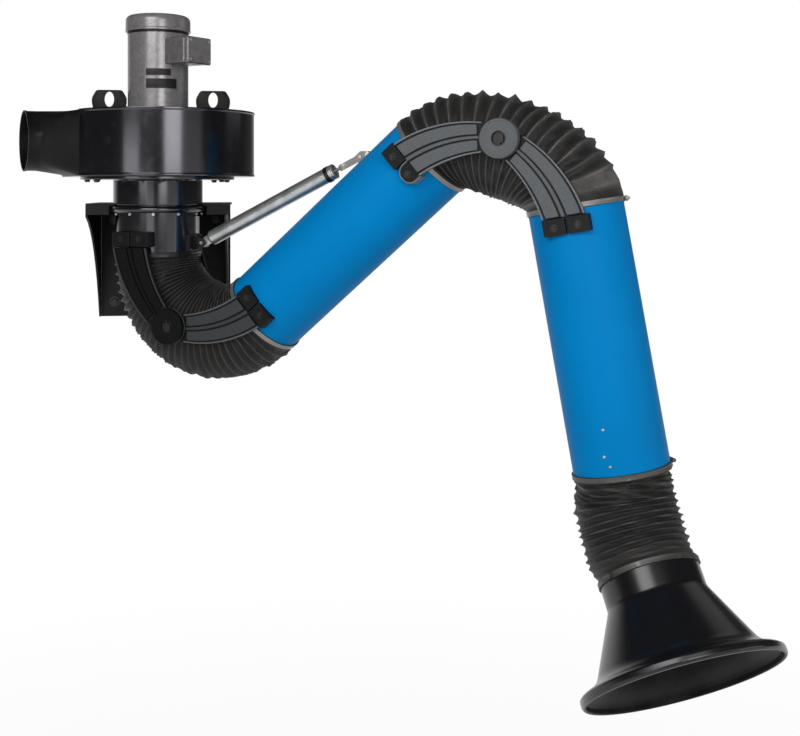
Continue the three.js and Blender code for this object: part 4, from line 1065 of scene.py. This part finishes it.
def curved_plate(radius, thick, degrees, levels):
    """A thin plate bent round z: a rounded section [radius, height] carried through the arc."""
    section = soft_corners(
        [[radius, levels[0]], [radius + thick, levels[0]], [radius + thick, levels[1]], [radius, levels[1]]], 0.4)
    angle = np.radians(np.linspace(*degrees, 28))[:, None]
    r, h = section[None, :, 0], np.broadcast_to(section[None, :, 1], (28, len(section)))
    return capped(np.stack([r * np.cos(angle), r * np.sin(angle), h], -1))


class ARM_OT_motor(bpy.types.Operator):
    """Motor shell, fan cover, terminal box and blank label plates"""

    bl_idname = "arm.motor"
    bl_label = "Motor"

    def execute(self, context):
        grey, steel = finish("grey_enamel"), finish("bright_steel")
        foot = HOUSING[1] + 0.3
        shell = soft_corners(
            [[0, foot], [MOTOR_RADIUS, foot], [MOTOR_RADIUS, MOTOR_TOP], [0, MOTOR_TOP]], 1, loop=False)
        low, high = COVER_SPAN
        # A dark band on the shell just under the fan cover's edge: a painted shadow of the cover's overhang.
        painted_cover_shadow = soft_corners([[MOTOR_RADIUS - 1, low - 6], [MOTOR_RADIUS + 0.6, low - 6], [MOTOR_RADIUS + 0.6, low],
                             [MOTOR_RADIUS - 1, low]], 0.3)
        body = Skin().grid(turn(shell, 128), TOWER).grid(turn(painted_cover_shadow, 128), TOWER, wrap_rows=True, paint=1)
        settle(body.object("motor_shell", grey, finish("label_plate")), "base", "grey_paint", "motor_body")

        dome = soft_corners(
            [[0, high - 4], [COVER_RADIUS - 4, high - 22], [COVER_RADIUS - 4, low], [COVER_RADIUS + 0.8, low],
             [COVER_RADIUS + 0.8, low + 4], [COVER_RADIUS, low + 6], [COVER_RADIUS, high], [0, high]],
            [0, 12, 1, 0.8, 0.8, 1, 21, 0], 12, loop=False)
        cover = Skin().grid(turn(dome, 128), TOWER)
        settle(cover.object("motor_cover", grey), "base", "grey_paint", "motor_fan_cover")

        box_place = TOWER.turned(TERMINAL_TURN)
        inner, lid, front = TERMINAL_REACH
        low, high = TERMINAL_SPAN
        side = TERMINAL_HALF
        box = Skin().grid(slab([inner, lid], [1.2 - side, side - 1.2], [low + 1.2, high - 1.2], 3), box_place)
        box.grid(slab([lid, front], [-side, side], [low, high], 3.5), box_place)
        for y in (9 - side, side - 9):
            for z in (low + 9, high - 9):
                box.screw(box_place.within((front, y, z), (0, 1, 0), (0, 0, 1), (1, 0, 0)), 3.2, 1.6, paint=1)
        # The terminal box takes the darkened enamel, a painted shade.
        settle(box.object("terminal_box", finish("grey_box"), steel), "base", "grey_paint", "motor_terminal_box")

        for name, (degrees, levels) in LABELS.items():
            plate = Skin().grid(curved_plate(MOTOR_RADIUS + 0.1, 1.1, degrees, levels), TOWER)
            settle(plate.object("blank_" + name, finish("label_plate")), "base", "label", name)
        coat_solids("bright_steel", "fan_wheel", "motor_shaft")
        return {"FINISHED"}


# Neck and swivel


class ARM_OT_swivel(bpy.types.Operator):
    """Neck under the blower, rolled collar and the swivel's black tube"""

    bl_idname = "arm.swivel"
    bl_label = "Neck and Swivel"

    def execute(self, context):
        black, zinc = finish("black_paint"), finish("zinc_plate")
        radius = context.scene.arm_sizes.tube_radius / MM
        neck = soft_corners(
            [[93, -64], [98, -64], [98, -60], [96, -60], [96, -36], [107.5, -36], [107.5, 23.5], [93, 23.5]], 1.2)
        settle(Skin().grid(turn(neck, 128), TOWER, wrap_rows=True).object("neck", black), "base", "black_paint",
               "neck_tube")

        inside = radius - TUBE_WALL
        tube = soft_corners(
            [[inside, SWIVEL_LOW - CUFF], [radius, SWIVEL_LOW - CUFF], [radius, SWIVEL_TOP], [97.3, SWIVEL_TOP],
             [97.3, SWIVEL_TOP - 5], [inside, SWIVEL_TOP - 7]], 0.6)
        settle(Skin().grid(turn(tube, 128), ARM, wrap_rows=True).object("swivel_shell", black), "swivel",
               "black_paint", "swivel_tube")

        roll = np.linspace(-0.42 * np.pi, 0.62 * np.pi, 14)
        bead = np.stack([105.2 + 6.8 * np.cos(roll), SWIVEL_TOP - 7.4 + 7.2 * np.sin(roll)], -1)
        skirt = [[radius + 0.3, SWIVEL_TOP - 22], [radius + 2.8, SWIVEL_TOP - 22], [radius + 2.8, SWIVEL_TOP - 15.5]]
        collar = np.concatenate([skirt, bead, [[radius + 0.3, SWIVEL_TOP - 0.4]]])
        ring = Skin().grid(turn(collar, 128), ARM, wrap_rows=True)
        for degrees in np.arange(11) * 360 / 11 - 30:
            c, s = heading(degrees)
            side = ARM.within(((radius + 2.6) * c, (radius + 2.6) * s, SWIVEL_TOP - 19), (-s, c, 0), (0, 0, 1), (c, s, 0))
            ring.screw(side, 3.4, 2.6, paint=1)
        settle(ring.object("swivel_bead", black, zinc), "swivel", "black_paint", "swivel_collar")
        strap = Skin().grid(slab([98.5, 104.5], [9, 20], [-106, -63], 0.8), ARM)
        settle(strap.object("swivel_strap", zinc), "swivel", "zinc")
        return {"FINISHED"}


# Tubes


RIVETS = {"upper": (), "lower": ((450, -90), (504, -86), (525, -91))}


class ARM_OT_tubes(bpy.types.Operator):
    """The two blue tubes, with a row of rivets on the lower one"""

    bl_idname = "arm.tubes"
    bl_label = "Tubes"

    def execute(self, context):
        radius = context.scene.arm_sizes.tube_radius / MM
        wall = soft_corners(
            [[radius - TUBE_WALL, -CUFF], [radius, -CUFF], [radius, TUBE_LENGTH + CUFF],
             [radius - TUBE_WALL, TUBE_LENGTH + CUFF]], 0.8)
        blue = finish("blue_paint")
        dome = soft_corners([[0, -1], [3.4, -1], [3.4, 0.7], [2.1, 1.8], [0, 2.1]], 0.6, loop=False)
        for name, start, way in (("upper", UPPER_START, UPPER), ("lower", LOWER_START, LOWER)):
            place = on_line(start, way)
            tube = Skin().grid(turn(wall, 160), place, wrap_rows=True)
            for along, degrees in RIVETS[name]:
                c, s = heading(degrees)
                head = place.within((radius * c, radius * s, along), (-s, c, 0), (0, 0, 1), (c, s, 0))
                tube.grid(turn(dome, 20), head, paint=1)
            settle(tube.object(name + "_duct", blue, finish("zinc_plate")), name + "_arm", "blue_paint", name + "_tube")
        return {"FINISHED"}


# Hoses


CUFF_GROW = 1.9
BEND_HANDLES = {"shoulder": (255, 46), "elbow": (190, 6)}


def pleat_height(s, angle, pleats, draw, wander, uneven):
    """Sharp ridges and hollow valleys: 1 - |sin(pi phase)|, the phase wandering round the hose."""
    phase = pleats * s + wander * ripple(s, angle, draw, 5, (0.5, 3), (1, 4))
    strength = np.interp(phase, np.arange(-1, pleats + 2), draw.uniform(1 - uneven, 1, pleats + 3))
    ridge = 1 - np.abs(np.sin(np.pi * phase)) ** 0.74
    return ridge * strength


def even_steps(edge, count):
    """Positions along a curve that share its length evenly."""
    reach = np.concatenate([[0], np.cumsum(np.linalg.norm(np.diff(edge, axis=0), axis=1))])
    return np.interp(np.linspace(0, reach[-1], count), reach, np.linspace(0, 1, len(edge)))


def bent_hose(radius, start, start_way, end, end_way, bulge, handles, pleats, depth, draw, stretched=None):
    """Rings between two edge curves of the arm's plane: middle + reach cos a in it, half width sin a across it.

    The pleats lift each ring; stretched is the span of s where the cloth is pulled smooth.
    """
    fine = np.linspace(0, 1, 400)
    count = pleats * 12 + 1
    edges = []
    for side, handle in ((bulge, handles[0]), (-bulge, handles[1])):
        a = start + start_way * CUFF + left_of(start_way) * side * radius
        b = end - end_way * CUFF + left_of(end_way) * side * radius
        points = (a, a + start_way * handle, b - end_way * handle, b)
        edges.append(bezier(*points, even_steps(bezier(*points, fine), count)))
    outer, inner = edges
    s = np.linspace(0, 1, count)[:, None]
    angle = 2 * np.pi * np.arange(144)[None] / 144
    c, w = np.cos(angle), np.sin(angle)
    lift = pleat_height(s, angle, pleats, draw, 0.2, 0.2)
    calm = smooth(s / 0.035) * smooth((1 - s) / 0.035)
    if stretched:
        calm = calm * (1 - 0.86 * smooth((s - stretched[0]) / 0.06) * np.ones_like(angle))
    out, back = np.maximum(c, 0) ** 2, np.maximum(-c, 0) ** 2
    crest = 2.6 + (depth - 2.6) * out + back
    hollow = -9.0 + 5.0 * out + 4.0 * back
    crumple = ripple(s, angle, draw, 12, (5, 26), (2, 14)) * (0.9 + 0.7 * out + 0.2 * back)
    grow = CUFF_GROW + calm * (hollow + (crest - hollow) * lift + crumple - CUFF_GROW)
    fold = lift * calm
    if stretched:
        pulled = smooth((s - stretched[0]) / 0.06) * smooth((1 - s) / 0.05)
        wrinkle = ripple(s, angle, draw, 6, (2, 6), (2, 8))
        grow = grow + pulled * wrinkle * 1.6
        # The pulled cloth's fold is raised, a painted highlight on the stretched cloth.
        fold = fold + pulled * (0.7 + 0.25 * wrinkle)
    return hose_grid(outer, inner, grow, radius, c, w), fold


def hose_grid(outer, inner, grow, radius, c, w):
    """middle + (reach + grow) cos a in the plane, (radius + grow) sin a towards the viewer."""
    middle = (outer + inner) / 2
    reach = outer - middle
    long = np.linalg.norm(reach, axis=1)[:, None]
    swing = c * (1 + grow / long)
    x = middle[:, :1] + reach[:, :1] * swing
    z = middle[:, 1:] + reach[:, 1:] * swing
    return np.stack([x, -(radius + np.minimum(grow, 4.6 + 40 * c ** 2)) * w, z], -1)


def cuff_rows(rows, far, amount):
    """The first ring of a grid carried straight back over the tube's end by the amount."""
    return rows + far * amount


def hose_skin(outside, fold, start_way, end_way, thick):
    """Closes a hose: straight cuffs at both ends, and an inner wall set in towards each ring's middle."""
    first = outside[:1] - start_way * CUFF
    last = outside[-1:] + end_way * CUFF
    out = np.concatenate([first, outside, last])
    middle = out.mean(1, keepdims=True)
    size = np.linalg.norm(out - middle, axis=2, keepdims=True)
    smooth_size = size.mean(1, keepdims=True) / size
    inside = middle + (out - middle) * (1 - thick / size)
    pick = np.linspace(0, len(out) - 1, 60).round().astype(int)
    deep = inside[pick]
    folds = np.concatenate([fold[:1], fold, fold[-1:]])
    return np.concatenate([out, deep[::-1]]), np.concatenate([folds, np.zeros((len(pick), folds.shape[1]))])


class ARM_OT_hoses(bpy.types.Operator):
    """Pleated hoses at shoulder, elbow and hood"""

    bl_idname = "arm.hoses"
    bl_label = "Hoses"

    def execute(self, context):
        sizes = context.scene.arm_sizes
        radius, depth = sizes.tube_radius / MM, sizes.pleat_depth / MM
        plans = {
            # The shoulder hose takes the darkened cloth, a painted shade.
            "shoulder": (SWIVEL_END, DOWN, UPPER_START, UPPER, -1, sizes.shoulder_pleats, None,
                         ("swivel", "upper_arm"), SHOULDER, 62, "hose_dark"),
            "elbow": (UPPER_END, UPPER, LOWER_START, LOWER, 1, sizes.elbow_pleats, (0.86,),
                      ("upper_arm", "lower_arm"), ELBOW, 74, "hose_cloth"),
        }
        for name, (start, way, end, end_way, bulge, pleats, stretched, bodies, pivot, reach, coat) in plans.items():
            draw = np.random.default_rng(len(name))
            outside, fold = bent_hose(
                radius, start, way, end, end_way, bulge, BEND_HANDLES[name], pleats, depth, draw, stretched)
            points, folds = hose_skin(outside, fold, np.array([way[0], 0, way[1]]),
                                      np.array([end_way[0], 0, end_way[1]]), 1.5)
            hose = Skin().grid(points, ARM, wrap_rows=True, fold=folds).object(
                name + "_pleats", finish(coat), crease=180)
            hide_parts(name + "_hose")
            chord = (end - start) / np.linalg.norm(end - start)
            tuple(arm_spot(pivot - chord * reach))
            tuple(arm_spot(pivot + chord * reach))
            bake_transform(hose)
        self.hood_hose(sizes, radius, depth, finish("hose_hood"))
        return {"FINISHED"}

    def hood_hose(self, sizes, radius, depth, cloth):
        """Crumpled rings round a curve from the lower tube to the hood, in two halves that meet at the joint."""
        draw = np.random.default_rng(21)
        way = np.array([LOWER[0], 0, LOWER[1]])
        joint = np.array([HOOD_JOINT[0], 0, HOOD_JOINT[1]])
        a = np.array([LOWER_END[0], 0, LOWER_END[1]]) + way * CUFF
        d = joint + HOOD_WAY * (HOOD_NECK_DROP - CUFF)
        handle = np.linalg.norm(d - a) / 3
        count = sizes.hood_pleats * 14 + 1
        s = np.linspace(0, 1, count)
        path = bezier(a, a + way * handle, d - HOOD_WAY * handle, d, s)
        ahead = np.gradient(path, axis=0)
        ahead[0], ahead[-1] = way, HOOD_WAY
        ahead /= np.linalg.norm(ahead, axis=1)[:, None]
        viewer = np.array([0.0, -1, 0])
        across = viewer - ahead * (ahead @ viewer)[:, None]
        across /= np.linalg.norm(across, axis=1)[:, None]
        square = np.cross(across, ahead)
        angle = 2 * np.pi * np.arange(144)[None] / 144
        s = s[:, None]
        lift = pleat_height(s, angle, sizes.hood_pleats, draw, 0.22, 0.35)
        calm = smooth(s / 0.05) * smooth((1 - s) / 0.05)
        loose = 1 - smooth((s - 0.18) / 0.2)
        taut = smooth((s - 0.78) / 0.12)
        lift = lift * (1 - 0.6 * loose) * (1 - 0.75 * taut)
        crumple = ((0.7 + 2.0 * loose) * ripple(s, angle, draw, 14, (3, 14), (2, 12))
                   + (0.4 + 1.3 * loose) * ripple(s, angle, draw, 14, (12, 28), (5, 22)))
        lean = -np.cos(angle)
        sag = smooth(s / 0.3) * smooth((1 - s) / 0.15) * (12 * np.maximum(lean, 0) ** 1.5 - 4 * np.maximum(-lean, 0))
        base = radius + (HOOD_NECK_RADIUS - radius) * s
        size = base + CUFF_GROW + calm * (-5.5 + (depth + 2.5) * lift + crumple + sag)
        outside = path[:, None] + size[..., None] * (
            square[:, None] * np.cos(angle)[..., None] + across[:, None] * np.sin(angle)[..., None])
        # Fold becomes the cloth's painted light: lighter on ridges and outward crumples, and raised by 0.4 on the taut
        # cloth near the hood as a painted highlight.
        fold = calm * (1.1 * lift + 0.2 * crumple) + 0.4 * taut
        split = int(np.argmin(np.abs((path - joint) @ (way + HOOD_WAY))))
        halves = {
            "hood_pleats_upper": (slice(None, split + 1), way, None, ("lower_arm", "hood_cross"),
                                  a, joint - way * 32),
            "hood_pleats_lower": (slice(split, None), None, HOOD_WAY, ("hood_cross", "hood"),
                                  joint + HOOD_WAY * 32, d),
        }
        for name, (rows, top, low, bodies, start, end) in halves.items():
            nothing = np.zeros(3)
            points, folds = hose_skin(outside[rows], fold[rows], nothing if top is None else top,
                                      nothing if low is None else low, 1.5)
            hose = Skin().grid(points, ARM, wrap_rows=True, fold=folds).object(name, cloth, crease=180)
            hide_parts("hood_hose")
            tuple(ARM(start))
            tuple(ARM(end))
            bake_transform(hose)


# Clamps


class ARM_OT_clamps(bpy.types.Operator):
    """Band clamps with worm screws over the hose cuffs"""

    bl_idname = "arm.clamps"
    bl_label = "Hose Clamps"

    def execute(self, context):
        radius = context.scene.arm_sizes.tube_radius / MM
        plans = (
            ("shoulder_hose_clamp_top", "swivel", on_line(SWIVEL_END, DOWN), radius, 200, "dark_fitting"),
            ("shoulder_hose_clamp_low", "upper_arm", on_line(UPPER_START, -UPPER), radius, 25, "galvanised"),
            ("elbow_hose_clamp_top", "upper_arm", on_line(UPPER_END, UPPER), radius, 160, "galvanised"),
            ("elbow_hose_clamp_low", "lower_arm", on_line(LOWER_START, -LOWER), radius, 8, "galvanised"),
            ("hood_hose_clamp_top", "lower_arm", on_line(LOWER_END, LOWER), radius, 150, "galvanised_dark"),
            ("hood_hose_clamp_low", "hood", HOOD.within((0, 0, HOOD_NECK_DROP - CUFF), (1, 0, 0), (0, 1, 0), (0, 0, 1)),
             HOOD_NECK_RADIUS, 120, "galvanised_dark"),
        )
        for name, body, place, fit, degrees, coat in plans:
            inner = fit + CUFF_GROW + 0.2
            loop = soft_corners([[inner, 0.8], [inner + 1.6, 0.8], [inner + 1.2, CUFF / 2], [inner + 1.6, CUFF - 0.8],
                                 [inner, CUFF - 0.8]], 0.5)
            clamp = Skin().grid(turn(loop, 128), place, wrap_rows=True)
            spun = place.turned(degrees)
            clamp.grid(slab([inner + 0.8, inner + 7.5], [-9, 9], [0.2, CUFF - 0.2], 1.6), spun)
            drum = soft_corners([[0, -16], [4.2, -16], [4.2, 13], [0, 13]], 0.8, loop=False)
            clamp.grid(turn(drum, 20), spun.within((inner + 6.8, 0, CUFF / 2), (1, 0, 0), (0, 0, 1), (0, -1, 0)))
            settle(clamp.object(name + "_band", finish(coat)), body, "steel", name)
        return {"FINISHED"}


# Links


DISC_RADIUS = 42
RECESS_RADIUS = 15.5
RECESS_FLOOR = 120
LINK_START = np.array([-12.0, 2.0])
LINK_CHORD = np.array([PIVOT_ALONG, PIVOT_ASIDE]) - LINK_START
LINK_BOW = 18
LINK_HALVES = (45, 31)
LINK_TAPER = 1.4
FOOT = (-49, -12.5)
FOOT_LOBES = ((-49.5, -1.2), (1.2, 49.5))
LEVELS = {"outer": (116.6, 122.0, 126.2, 127.0, 120.0), "inner": (107.5, 110.6, 113.4, 114.0, 111.0)}
LINK_RADIUS = (LINK_CHORD @ LINK_CHORD / 4 + LINK_BOW ** 2) / (2 * LINK_BOW)
LINK_SWING = 2 * math.asin(math.hypot(*LINK_CHORD) / 2 / LINK_RADIUS)
LINK_FIRST = math.atan2(LINK_CHORD[1], LINK_CHORD[0]) - (math.pi + LINK_SWING) / 2
LINK_REACH = LINK_SWING - math.sqrt(DISC_RADIUS ** 2 - LINK_HALVES[1] ** 2) / LINK_RADIUS


def link_edge(share, t):
    """A line along the link's arc, t from 0 to 1; its place across runs from -1 to 1 at the outside of the bend.

    It starts square to the tube: t is moved by what the first spoke leans over the foot.
    """
    lean = share * LINK_HALVES[0] / ((LINK_RADIUS + share * LINK_HALVES[0]) * math.tan(LINK_FIRST) * LINK_REACH)
    t = lean + (1 - lean) * t
    half = LINK_HALVES[0] + (LINK_HALVES[1] - LINK_HALVES[0]) * np.maximum(t, 0) ** LINK_TAPER
    spokes = LINK_FIRST + LINK_REACH * np.concatenate([[0], t])
    spokes = np.stack([np.cos(spokes), np.sin(spokes)], -1)
    centre = LINK_START - LINK_RADIUS * spokes[0]
    return centre + spokes[1:] * (LINK_RADIUS + share * half)[:, None]


def link_band(shares, span, low, high, edge):
    """A strip of the link between two shares of its width, over a span of its length."""
    t = np.linspace(*span, 40)
    return band(link_edge(shares[0], t), link_edge(shares[1], t), low, high, edge)


def saddle_block(radius, along, across, high, edge, heel):
    """A block whose underside follows the tube: sqrt(radius^2 - b^2) below, flat above.

    Its heel is round in plan: within r of the end, each side moves in by r - sqrt(r^2 - (r - a)^2).
    """
    b = np.linspace(*across, 10)
    under = np.column_stack([b, np.sqrt((radius + 0.3) ** 2 - b ** 2)])
    top = soft_corners([[across[1], under[-1, 1]], [across[1], high], [across[0], high], [across[0], under[0, 1]]],
                       edge, loop=False)
    section = np.concatenate([under, held(top[4:-4])])
    a = along[0] + (along[1] - along[0]) * np.linspace(0, 1, 16)[:, None] ** 1.7
    middle, half = (across[0] + across[1]) / 2, (across[1] - across[0]) / 2
    inset = heel - np.sqrt(heel ** 2 - np.maximum(heel - (a - along[0]), 0) ** 2)
    b = middle + (section[None, :, 0] - middle) * (1 - inset / half)
    level = np.broadcast_to(section[:, 1], b.shape).copy()
    level[:, :10] = np.sqrt((radius + 0.3) ** 2 - b[:, :10] ** 2)
    return capped(np.stack([np.broadcast_to(a, b.shape), b, level], -1), edge)


class ARM_OT_links(bpy.types.Operator):
    """Outside links with grained pads, ribs, rims, pivot discs and bolted feet"""

    bl_idname = "arm.links"
    bl_label = "Links"

    def execute(self, context):
        radius = context.scene.arm_sizes.tube_radius / MM
        sides = {
            "shoulder_link_{}_upper": ("swivel", SWIVEL_END, DOWN, OUTWARDS, "outer", "pad_black"),
            "shoulder_link_{}_lower": ("upper_arm", UPPER_START, -UPPER, left_of(UPPER), "inner", "pad_dark"),
            "elbow_link_{}_upper": ("upper_arm", UPPER_END, UPPER, -left_of(UPPER), "outer", "pad_grain"),
            "elbow_link_{}_lower": ("lower_arm", LOWER_START, -LOWER, -left_of(LOWER), "inner", "pad_grain"),
        }
        for pattern, (body, end, way, aside, level, grain) in sides.items():
            for face, sign in (("front", -1), ("back", 1)):
                place = ARM.within((end[0], 0, end[1]), (way[0], 0, way[1]), (aside[0], 0, aside[1]), (0, sign, 0))
                name = pattern.format(face)
                self.link(place, radius, level, grain, name.startswith("elbow")).name = name + "_cast"
                settle(bpy.data.objects[name + "_cast"], body, "link_cast", name)
        coat_solids("dark_fitting", *(f"{joint}_pivot_bolt_{face}" for joint in ("shoulder", "elbow")
                                      for face in ("front", "back")))
        coat_solids("friction_lining", *(f"{joint}_friction_disc_{face}" for joint in ("shoulder", "elbow")
                                         for face in ("front", "back")))
        return {"FINISHED"}

    def link(self, place, radius, level, grain, rounded):
        """Body strip, two pads, a rib between them, two rims, the pivot disc, and two feet with bolts.

        One foot of a rounded outer link has a round heel with a pale edge.
        """
        low, body_top, pad_top, disc_top, foot_top = LEVELS[level]
        skin = Skin()
        skin.grid(link_band((-1, 1), (0, 1), low, body_top, 1.2), place, paint=0)
        for side in (-1, 1):
            skin.grid(link_band((0.19 * side, 0.81 * side), (0.01, 0.9), body_top - 0.5, pad_top, 1.1), place, paint=1)
            skin.grid(link_band((0.905 * side, 0.995 * side), (0.0, 0.95), body_top - 0.5, pad_top - 0.2, 0.7), place,
                      paint=3)
        skin.grid(link_band((-0.085, 0.085), (0.0, 0.92), body_top - 0.5, pad_top - 0.4, 0.7), place, paint=1)

        pivot = place.within((PIVOT_ALONG, PIVOT_ASIDE, 0), (1, 0, 0), (0, 1, 0), (0, 0, 1))
        hole = 6.6
        disc = [[hole, low], [DISC_RADIUS, low], [DISC_RADIUS, disc_top - 1.2], [DISC_RADIUS - 1.2, disc_top]]
        if level == "outer":
            floor, wall = RECESS_FLOOR, RECESS_RADIUS
            disc += [[37.5, disc_top], [36.8, disc_top - 0.6], [36, disc_top], [wall + 1, disc_top], [wall, disc_top - 1],
                     [wall, floor], [hole, floor]]
            # The recess is lined with the dark fitting finish, a painted shade in the hole.
            cup = soft_corners([[hole, floor], [wall - 0.1, floor], [wall - 0.1, disc_top - 1], [wall - 1.2, disc_top - 1],
                                [wall - 1.2, floor + 0.8], [hole, floor + 0.8]], 0.3)
            skin.grid(turn(cup, 48), pivot, wrap_rows=True, paint=2)
        else:
            disc += [[hole, disc_top]]
        skin.grid(turn(soft_corners(disc, 0.5), 96), pivot, wrap_rows=True, paint=1)

        for across in FOOT_LOBES:
            middle = sum(across) / 2
            if rounded and level == "outer" and middle > 0:
                skin.grid(saddle_block(radius, FOOT, across, foot_top - 1, 0.8, 22), place, paint=3)
                across = (across[0] + 3, across[1] - 3)
                skin.grid(saddle_block(radius, (FOOT[0] + 3, FOOT[1]), across, foot_top, 1.4, 19), place, paint=0)
            else:
                skin.grid(saddle_block(radius, FOOT, across, foot_top, 1.8, 3), place, paint=0)
            bolt = place.within((-33, middle, foot_top), (1, 0, 0), (0, 1, 0), (0, 0, 1))
            skin.bolt(bolt, 5.5, 3.6, paint=2, washer=1.2)
        rim = {"pad_black": "pad_dark", "pad_dark": "pad_grain", "pad_grain": "pad_rim"}[grain]
        return skin.object("link", *map(finish, ("moulded_black", grain, "dark_fitting", rim)))


# Balance strut


class ARM_OT_strut(bpy.types.Operator):
    """Zinc-plated balance strut with its end ring, tongue and pins"""

    bl_idname = "arm.strut"
    bl_label = "Balance Strut"

    def execute(self, context):
        line = STRUT_HEAD - STRUT_FOOT
        length = np.linalg.norm(line)
        place = on_line(STRUT_FOOT, line / length)
        zinc, dark = finish("zinc_plate"), finish("dark_fitting")
        barrel = Skin()
        wall = soft_corners([[0, 24], [14, 24], [18, 29], [18, 384], [15.6, 384], [15.6, 33], [0, 33]], 1.2, loop=False)
        barrel.grid(turn(wall, 64), place)
        barrel.grid(slab([-10, 10], [-4.4, 4.4], [0, 26], 1), place)
        eye = soft_corners([[4.6, -4.4], [11, -4.4], [11, 4.4], [4.6, 4.4]], 0.6)
        barrel.grid(turn(eye, 32), place.within((0, 0, 0), (1, 0, 0), (0, 0, 1), (0, -1, 0)), wrap_rows=True)
        ring = soft_corners([[18.1, 367], [19.2, 367], [19.2, 377], [18.1, 377]], 0.5)
        barrel.grid(turn(ring, 64), place, wrap_rows=True, paint=1)
        settle(barrel.object("strut_shell", zinc, dark), "strut_barrel", "zinc", "strut_barrel")
        coat_solids("zinc_plate", "strut_cap")
        coat_solids("galvanised", "strut_lug", "strut_rod")
        coat_solids("bright_steel", "strut_spring", "strut_pin_low", "strut_pin_top")
        coat_solids("black_paint", "strut_clevis")
        return {"FINISHED"}


# Hood


class ARM_OT_hood(bpy.types.Operator):
    """Flared glossy hood with a lipped rim, and its inner joint"""

    bl_idname = "arm.hood"
    bl_label = "Hood"

    def execute(self, context):
        neck = HOOD_NECK_RADIUS
        outside = [[neck, -CUFF], [neck, 46], [neck + 3, 53], [164, 169], [179, 181], [199, 188], [206, 193], [206, 205],
                   [202, 210]]
        inside = [[198, 208], [197, 196], [177, 184], [161.3, 171], [neck + 0.3, 55], [neck - 3, 47], [neck - 3, -CUFF]]
        profile = soft_corners(outside + inside, [0.6, 12, 12, 22, 18, 6, 3, 3, 2, 2, 4, 14, 18, 10, 10, 0.6], 10)
        profile[:, 1] += HOOD_NECK_DROP
        inner = 10 * len(outside)
        # The rows round the lip's edge take the pale rim finish, a painted highlight along the lip.
        edge = inner - 10
        hood = Skin().grid(turn(profile[:edge + 1], 192), HOOD).grid(turn(profile[edge:inner + 1], 192), HOOD, paint=2)
        hood.grid(turn(np.vstack([profile[inner:], profile[:1]]), 192), HOOD, paint=1)
        settle(hood.object("hood_shell", *map(finish, ("hood_gloss", "hood_inside", "pad_rim"))), "hood", "hood_plastic",
               "hood")
        coat_solids("bright_steel", "hood_yoke_upper", "hood_yoke_lower", "hood_cross")
        return {"FINISHED"}


class ARM_PT_panel(bpy.types.Panel):
    """Sidebar list of the arm's pieces"""

    bl_idname = "ARM_PT_panel"
    bl_label = "Fume Extraction Arm"
    bl_space_type = "VIEW_3D"
    bl_region_type = "UI"
    bl_category = "Arm"

    def draw(self, context):
        for operator in OPERATORS:
            self.layout.operator(operator.bl_idname)
        for group in ("arm_sizes", "arm_finishes", "arm_studio"):
            settings = getattr(context.scene, group)
            for name in settings.__annotations__:
                self.layout.prop(settings, name)


GROUPS = {"arm_sizes": ArmSizes, "arm_finishes": ArmFinishes, "arm_studio": ArmStudio}
OPERATORS = (
    ARM_OT_stage, ARM_OT_bracket, ARM_OT_blower, ARM_OT_motor, ARM_OT_swivel, ARM_OT_tubes, ARM_OT_hoses,
    ARM_OT_clamps, ARM_OT_links, ARM_OT_strut, ARM_OT_hood,
)
CLASSES = (*GROUPS.values(), *OPERATORS, ARM_PT_panel)


def register():
    for item in CLASSES:
        bpy.utils.register_class(item)
    for name, group in GROUPS.items():
        setattr(bpy.types.Scene, name, PointerProperty(type=group))


def unregister():
    for name in GROUPS:
        delattr(bpy.types.Scene, name)
    for item in reversed(CLASSES):
        bpy.utils.unregister_class(item)


def main():
    register()
    bpy.ops.arm.stage()
    bpy.ops.arm.bracket()
    bpy.ops.arm.blower()
    bpy.ops.arm.motor()
    bpy.ops.arm.swivel()
    bpy.ops.arm.tubes()
    bpy.ops.arm.hoses()
    bpy.ops.arm.clamps()
    bpy.ops.arm.links()
    bpy.ops.arm.strut()
    bpy.ops.arm.hood()


if __name__ == "__main__":
    main()
